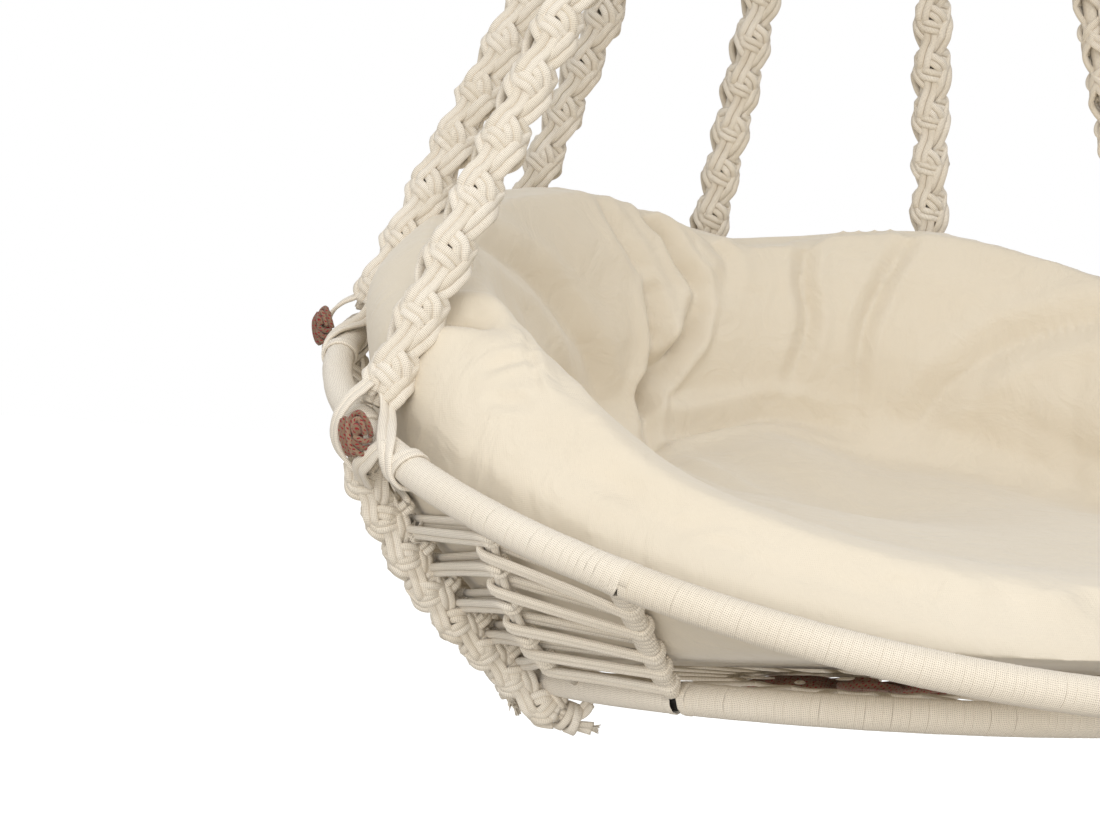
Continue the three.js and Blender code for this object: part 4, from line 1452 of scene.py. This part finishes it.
@dataclass
class Cushion:
    """The bucket cushion: a cotton cover over loose filling, blown up as cloth and then creased."""

    palette: Palette
    voxel: float = 6.0
    pressure: float = 4.0
    frames: int = 20
    reach: float = 9.0
    slack: float = 2.0
    # For angles round the upper ring: how far the cover leans out over the ring, rises there, and
    # bulges below it
    lean: tuple[tuple[float, float, float, float], ...] = (
        (0, 0, -4, 4),
        (30, 0, -8, 8),
        (50, 2, -8, 14),
        (70, 12, 4, 20),
        (85, 24, 14, 24),
        (105, 28, 20, 22),
        (130, 18, 18, 16),
        (150, 10, 14, 10),
        (165, 9, 6, 9),
        (180, 8, -3, 8),
    )
    folds: tuple[Fold, ...] = (
        Fold(
            (
                (-345, -80, -1008), (-337, -88, -1004), (-329, -95, -1003), (-322, -101, -1005),
                (-314, -109, -1010),
            ),
            15, 10,
        ),
        Fold(
            (
                (-300, 10, -940), (-279, 46, -945), (-261, 64, -949), (-227, 95, -960), (-201, 114, -977),
                (-180, 127, -996), (-164, 138, -1012), (-154, 149, -1030), (-143, 159, -1052),
            ),
            11, 12, 0.3,
        ),
        Fold(
            (
                (-100, 177, -1046), (-91, 180, -1034), (-82, 183, -1024), (-68, 183, -1004), (-59, 184, -991),
                (-55, 187, -970),
            ),
            22, 7, 0.3,
        ),
        Fold(
            (
                (-95, 175, -960), (-89, 177, -1002), (-93, 178, -1025), (-99, 178, -1040), (-97, 175, -1055),
                (-95, 161, -1080),
            ),
            20, 7, 0.3,
        ),
        Fold(
            (
                (-150, 182, -880), (-141, 179, -898), (-128, 177, -915), (-115, 177, -932), (-104, 178, -950),
                (-95, 175, -990),
            ),
            7, 7, 0.3,
        ),
        Fold(
            (
                (-100, 205, -880), (-96, 201, -896), (-81, 201, -906), (-69, 195, -927), (-54, 194, -945),
                (-50, 190, -964), (-56, 186, -990),
            ),
            13, 6.5, 0.3,
        ),
        Fold(((-42, 222, -890), (-30, 213, -909), (-20, 207, -922), (-24, 198, -950)), 7, 8, 0.3),
        Fold(
            (
                (-110, 140, -1087), (-77, 168, -1072), (-49, 172, -1065), (-21, 176, -1058), (24, 184, -1050),
                (90, 178, -1058),
            ),
            15, 9, 0.3,
        ),
        Fold(
            (
                (-95, 150, -1088), (-107, 113, -1091), (-111, 54, -1095), (-106, 17, -1101),
                (-96, -30, -1106),
            ),
            5, 9, 0.4,
        ),
        Fold(((-325, -140, -1040), (-313, -143, -1034), (-300, -147, -1031)), 3, 4, 0.6),
        Fold(((-324, -156, -1058), (-317, -163, -1058), (-308, -170, -1058)), 2.5, 4, 0.6),
        Fold(((-284, -150, -1036), (-284, -169, -1047), (-277, -185, -1058)), 3, 6, 0.6),
        Fold(((60, 215, -890), (48, 200, -930), (52, 192, -970), (40, 190, -1020)), 11, 7, 0.3),
        Fold(((150, 195, -890), (120, 190, -930), (100, 185, -975), (95, 178, -1040)), 10, 7, 0.3),
        Fold(
            ((300, 10, -940), (261, 64, -949), (205, 112, -975), (165, 138, -1012), (143, 159, -1052)),
            11, 12, 0.3,
        ),
        Fold(((345, -80, -1008), (329, -95, -1003), (314, -109, -1010)), 13, 11),
    )
    seams: tuple[Fold, ...] = (
        Fold(
            (
                (-301, -106, -1005), (-296, -120, -1016), (-299, -150, -1035), (-300, -169, -1052),
                (-291, -181, -1059),
            ),
            2.2, 2.6, 0.4,
        ),
        Fold(((-268, 100, -905), (-281, 49, -939), (-291, 14, -961), (-313, -70, -989)), 2.0, 2.6, 0.4),
    )

    def _select(self, obj: bpy.types.Object) -> None:
        """Make an object the only selected one."""
        bpy.ops.object.select_all(action="DESELECT")
        obj.select_set(True)
        bpy.context.view_layer.objects.active = obj

    def _apply(self, obj: bpy.types.Object, kind: str, **settings: object) -> None:
        """Add a modifier, and apply it.

        Args:
            obj: The object.
            kind: The modifier's type.
            settings: The modifier's own properties.
        """
        modifier = obj.modifiers.new(kind.lower(), kind)
        for key, value in settings.items():
            setattr(modifier, key, value)
        self._select(obj)
        bpy.ops.object.modifier_apply(modifier=modifier.name)

    @staticmethod
    def _read(obj: bpy.types.Object, kind: str) -> Array:
        """Read a vector of every point of an object, such as its co or its normal."""
        values = np.empty(len(obj.data.vertices) * 3)
        obj.data.vertices.foreach_get(kind, values)
        return values.reshape(-1, 3)

    def _points(self, obj: bpy.types.Object) -> Array:
        """Give the points of an object, in millimetres."""
        return self._read(obj, "co") / MM

    @staticmethod
    def _write(obj: bpy.types.Object, points: Array) -> None:
        """Move the points of an object to places in millimetres."""
        obj.data.vertices.foreach_set("co", (points * MM).ravel())
        obj.data.update()

    def blow_up(self, obj: bpy.types.Object) -> None:
        """Fill the cover with air, held close to the shape that it started with.

        Args:
            obj: The cover.
        """
        start = self._points(obj)
        modifier = obj.modifiers.new("cover", "CLOTH")
        cloth = modifier.settings
        cloth.quality = 5
        cloth.mass = 0.3
        cloth.tension_stiffness = cloth.compression_stiffness = 12
        cloth.shear_stiffness = 6
        cloth.bending_stiffness = 0.6
        cloth.use_pressure = True
        cloth.uniform_pressure_force = self.pressure
        cloth.effector_weights.gravity = 0
        modifier.point_cache.frame_end = self.frames
        scene = bpy.context.scene
        for frame in range(1, self.frames + 1):
            scene.frame_set(frame)
        self._select(obj)
        bpy.ops.object.modifier_apply(modifier=modifier.name)
        scene.frame_set(1)
        moved = self._points(obj) - start
        far = np.linalg.norm(moved, axis=1, keepdims=True)
        self._write(obj, start + moved * np.minimum(1, self.reach / np.maximum(far, 1e-6)))

    def settle(self, obj: bpy.types.Object) -> None:
        """Let the cover lean over the ring and press against the net, and lift its front off the seat net.

        Args:
            obj: The cover.
        """
        points = self._points(obj)
        flat = points - UPPER.centre
        height = flat @ UPPER.normal
        side, depth = flat[:, 0], flat @ UPPER.back
        reach = np.hypot(side, depth)
        angle = np.degrees(np.arctan2(np.abs(side), -depth))
        table = np.array(self.lean)
        out, up, bulge = (np.interp(angle, table[:, 0], table[:, i]) for i in (1, 2, 3))
        outward = (side / reach)[:, None] * [1, 0, 0] + (depth / reach)[:, None] * UPPER.back

        def ease(value: Array, low: float, high: float) -> Array:
            """Give a share that grows smoothly from 0 at the low value to 1 at the high one."""
            share = np.clip((value - low) / (high - low), 0, 1)
            return share * share * (3 - 2 * share)

        above = ease(height, -25, 45) * ease(reach, 170, 290)
        below = np.clip(-height / 170, 0, 1)
        pressed = np.sin(np.pi * below) * ease(reach, 150, 230)
        points += outward * (above * out + pressed * bulge)[:, None]
        points[:, 2] += above * up
        seat = points - SEAT.centre
        down, ahead = seat @ SEAT.normal, seat @ SEAT.back
        least = 3.5 + 0.085 * np.maximum(0, 90 - ahead)
        lifted = 4 * np.logaddexp(0, (down - least) / 4) + least
        points += SEAT.normal * (lifted - down)[:, None]
        self._write(obj, points)

    def crease(self, obj: bpy.types.Object, folds: tuple[Fold, ...]) -> None:
        """Press lines into the cover, with a soft ridge on both sides of each.

        Args:
            obj: The cover.
            folds: The lines.
        """
        points, normals = self._points(obj), self._read(obj, "normal")
        tree = BVHTree.FromObject(obj, bpy.context.evaluated_depsgraph_get())
        shift = np.zeros(len(points))
        for fold in folds:
            line = spline(fold.points, 10)
            near = [tree.find_nearest(Vector(p * MM))[0] for p in line]
            line = np.array([tuple(p) for p in near]) / MM
            taper = np.sin(np.pi * np.clip(np.linspace(0.06, 0.94, len(line)), 0, 1)) ** 0.6
            gap = np.full(len(points), 1e9)
            share = np.zeros(len(points))
            for p, t in zip(line, taper):
                d = np.linalg.norm(points - p, axis=1)
                closer = d < gap
                gap[closer] = d[closer]
                share[closer] = t
            groove = np.exp(-((gap / fold.width) ** 1.3))
            ridge = np.exp(-(((gap - 2.1 * fold.width) / (0.9 * fold.width)) ** 2))
            shift += share * fold.depth * (fold.ridge * ridge - groove)
        self._write(obj, points + normals * shift[:, None])

    def build(self) -> None:
        """Build the cushion from a copy of its CAD node."""
        source = bpy.data.objects["cushion"]
        obj = bpy.data.objects.new("bucket_cushion", source.data.copy())
        bpy.context.scene.collection.objects.link(obj)
        self._select(obj)
        self._apply(obj, "REMESH", mode="VOXEL", voxel_size=self.voxel * MM, use_smooth_shade=True)
        self._apply(obj, "SMOOTH", factor=0.6, iterations=8)
        self._write(obj, self._points(obj) - self._read(obj, "normal") * self.slack)
        self.blow_up(obj)
        self.settle(obj)
        self._apply(obj, "SUBSURF", levels=1, render_levels=1)
        self.crease(obj, self.folds)
        self.crease(obj, self.seams)
        obj.data.polygons.foreach_set("use_smooth", np.ones(len(obj.data.polygons), bool))
        obj.data.update()
        self.palette.finish(obj, Slot.COTTON, "cushion")


@dataclass
class Studio:
    """The camera, the lights, the pale floor and the white background."""

    eye: tuple[float, float, float] = (-606.9, -1124.3, -1064.5)
    yaw: float = 0.318
    pitch: float = -0.001
    roll: float = 0.074
    lens: float = 55.86
    floor_z: float = -1800.0

    def build_camera(self) -> None:
        """Place the camera."""
        forward = Vector(
            (
                math.sin(self.yaw) * math.cos(self.pitch),
                math.cos(self.yaw) * math.cos(self.pitch),
                -math.sin(self.pitch),
            )
        )
        right = Vector((math.cos(self.yaw), -math.sin(self.yaw), 0))
        upward = right.cross(forward)
        turned = math.cos(self.roll) * right + math.sin(self.roll) * upward
        raised = -math.sin(self.roll) * right + math.cos(self.roll) * upward
        matrix = Matrix((turned, raised, -forward)).transposed().to_4x4()
        matrix.translation = Vector(self.eye) * MM
        camera = bpy.data.cameras.new("camera")
        camera.lens = self.lens
        camera.sensor_width = 36
        camera.clip_start = 0.02
        obj = bpy.data.objects.new("camera", camera)
        obj.matrix_world = matrix
        bpy.context.scene.collection.objects.link(obj)
        bpy.context.scene.camera = obj

    def _light(self, name: str, place: Vector, aim: Vector, size: float, power: float) -> None:
        """Hang one square area light.

        Args:
            name: Its name.
            place: Where it hangs, in metres.
            aim: The point that it faces.
            size: The length of its side.
            power: Its power in watts.
        """
        lamp = bpy.data.lights.new(name, "AREA")
        lamp.size = size
        lamp.energy = power
        obj = bpy.data.objects.new(name, lamp)
        obj.location = place
        obj.rotation_euler = (aim - place).to_track_quat("-Z", "Y").to_euler()
        bpy.context.scene.collection.objects.link(obj)

    def build_lights(self) -> None:
        """Hang a large soft light before the chair, a lower one to its left and a weak one above it."""
        aim = Vector((0, -0.05, -1.1))
        self._light("key", Vector((-1.0, -2.6, -0.5)), aim, 2.0, 32)
        self._light("low", Vector((-2.1, -1.9, -1.6)), aim, 1.6, 23)
        self._light("top", Vector((0.2, -0.9, 1.4)), aim, 2.0, 13)

    def build_surroundings(self) -> None:
        """Lay the floor, and set an even white sky that lights the shadows."""
        bpy.ops.object.select_all(action="DESELECT")
        bpy.ops.mesh.primitive_plane_add(size=60, location=(0, 0, self.floor_z * MM))
        floor = bpy.context.object
        floor.name = "floor"
        floor.data.materials.append(StageFinish().make())
        world = bpy.data.worlds.new("studio")
        bpy.context.scene.world = world
        world.use_nodes = True
        tree = world.node_tree
        back = tree.nodes["Background"]
        path = tree.nodes.new("ShaderNodeLightPath")
        strength = tree.nodes.new("ShaderNodeMapRange")
        tree.links.new(path.outputs["Is Camera Ray"], strength.inputs["Value"])
        strength.inputs["To Min"].default_value = 0.71
        strength.inputs["To Max"].default_value = 1.0
        tree.links.new(strength.outputs[0], back.inputs["Strength"])
        back.inputs["Color"].default_value = (1, 1, 1, 1)

    def build(self) -> None:
        """Set the whole picture up."""
        self.build_camera()
        self.build_lights()
        self.build_surroundings()
        bpy.context.scene.view_settings.view_transform = "Standard"


def main() -> None:
    """Load the frame, build each part of the chair and set up the picture."""
    logging.basicConfig(level=logging.INFO, format="%(message)s")
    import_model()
    palette = Palette()
    for name in ("upper_ring_tube", "seat_ring_tube"):
        palette.dress(bpy.data.objects[name], Slot.TUBE)
    HangingHead(palette).build()
    WoundRing(palette, "upper_ring", UPPER, 47.5, 4.0, "back", 4.3).build()
    WoundRing(palette, "seat_ring", SEAT, 54.8, 5.6, "front", 1.0).build()
    for number, column in enumerate(ROPE_COLUMNS, 1):
        HangingRope(palette, number, column).build()
        Joint(palette, number, column).build()
        SideRope(palette, number, column).build()
    SideNet(palette).build()
    SeatBottom(palette).build()
    Cushion(palette).build()
    Studio().build()


if __name__ == "__main__":
    main()
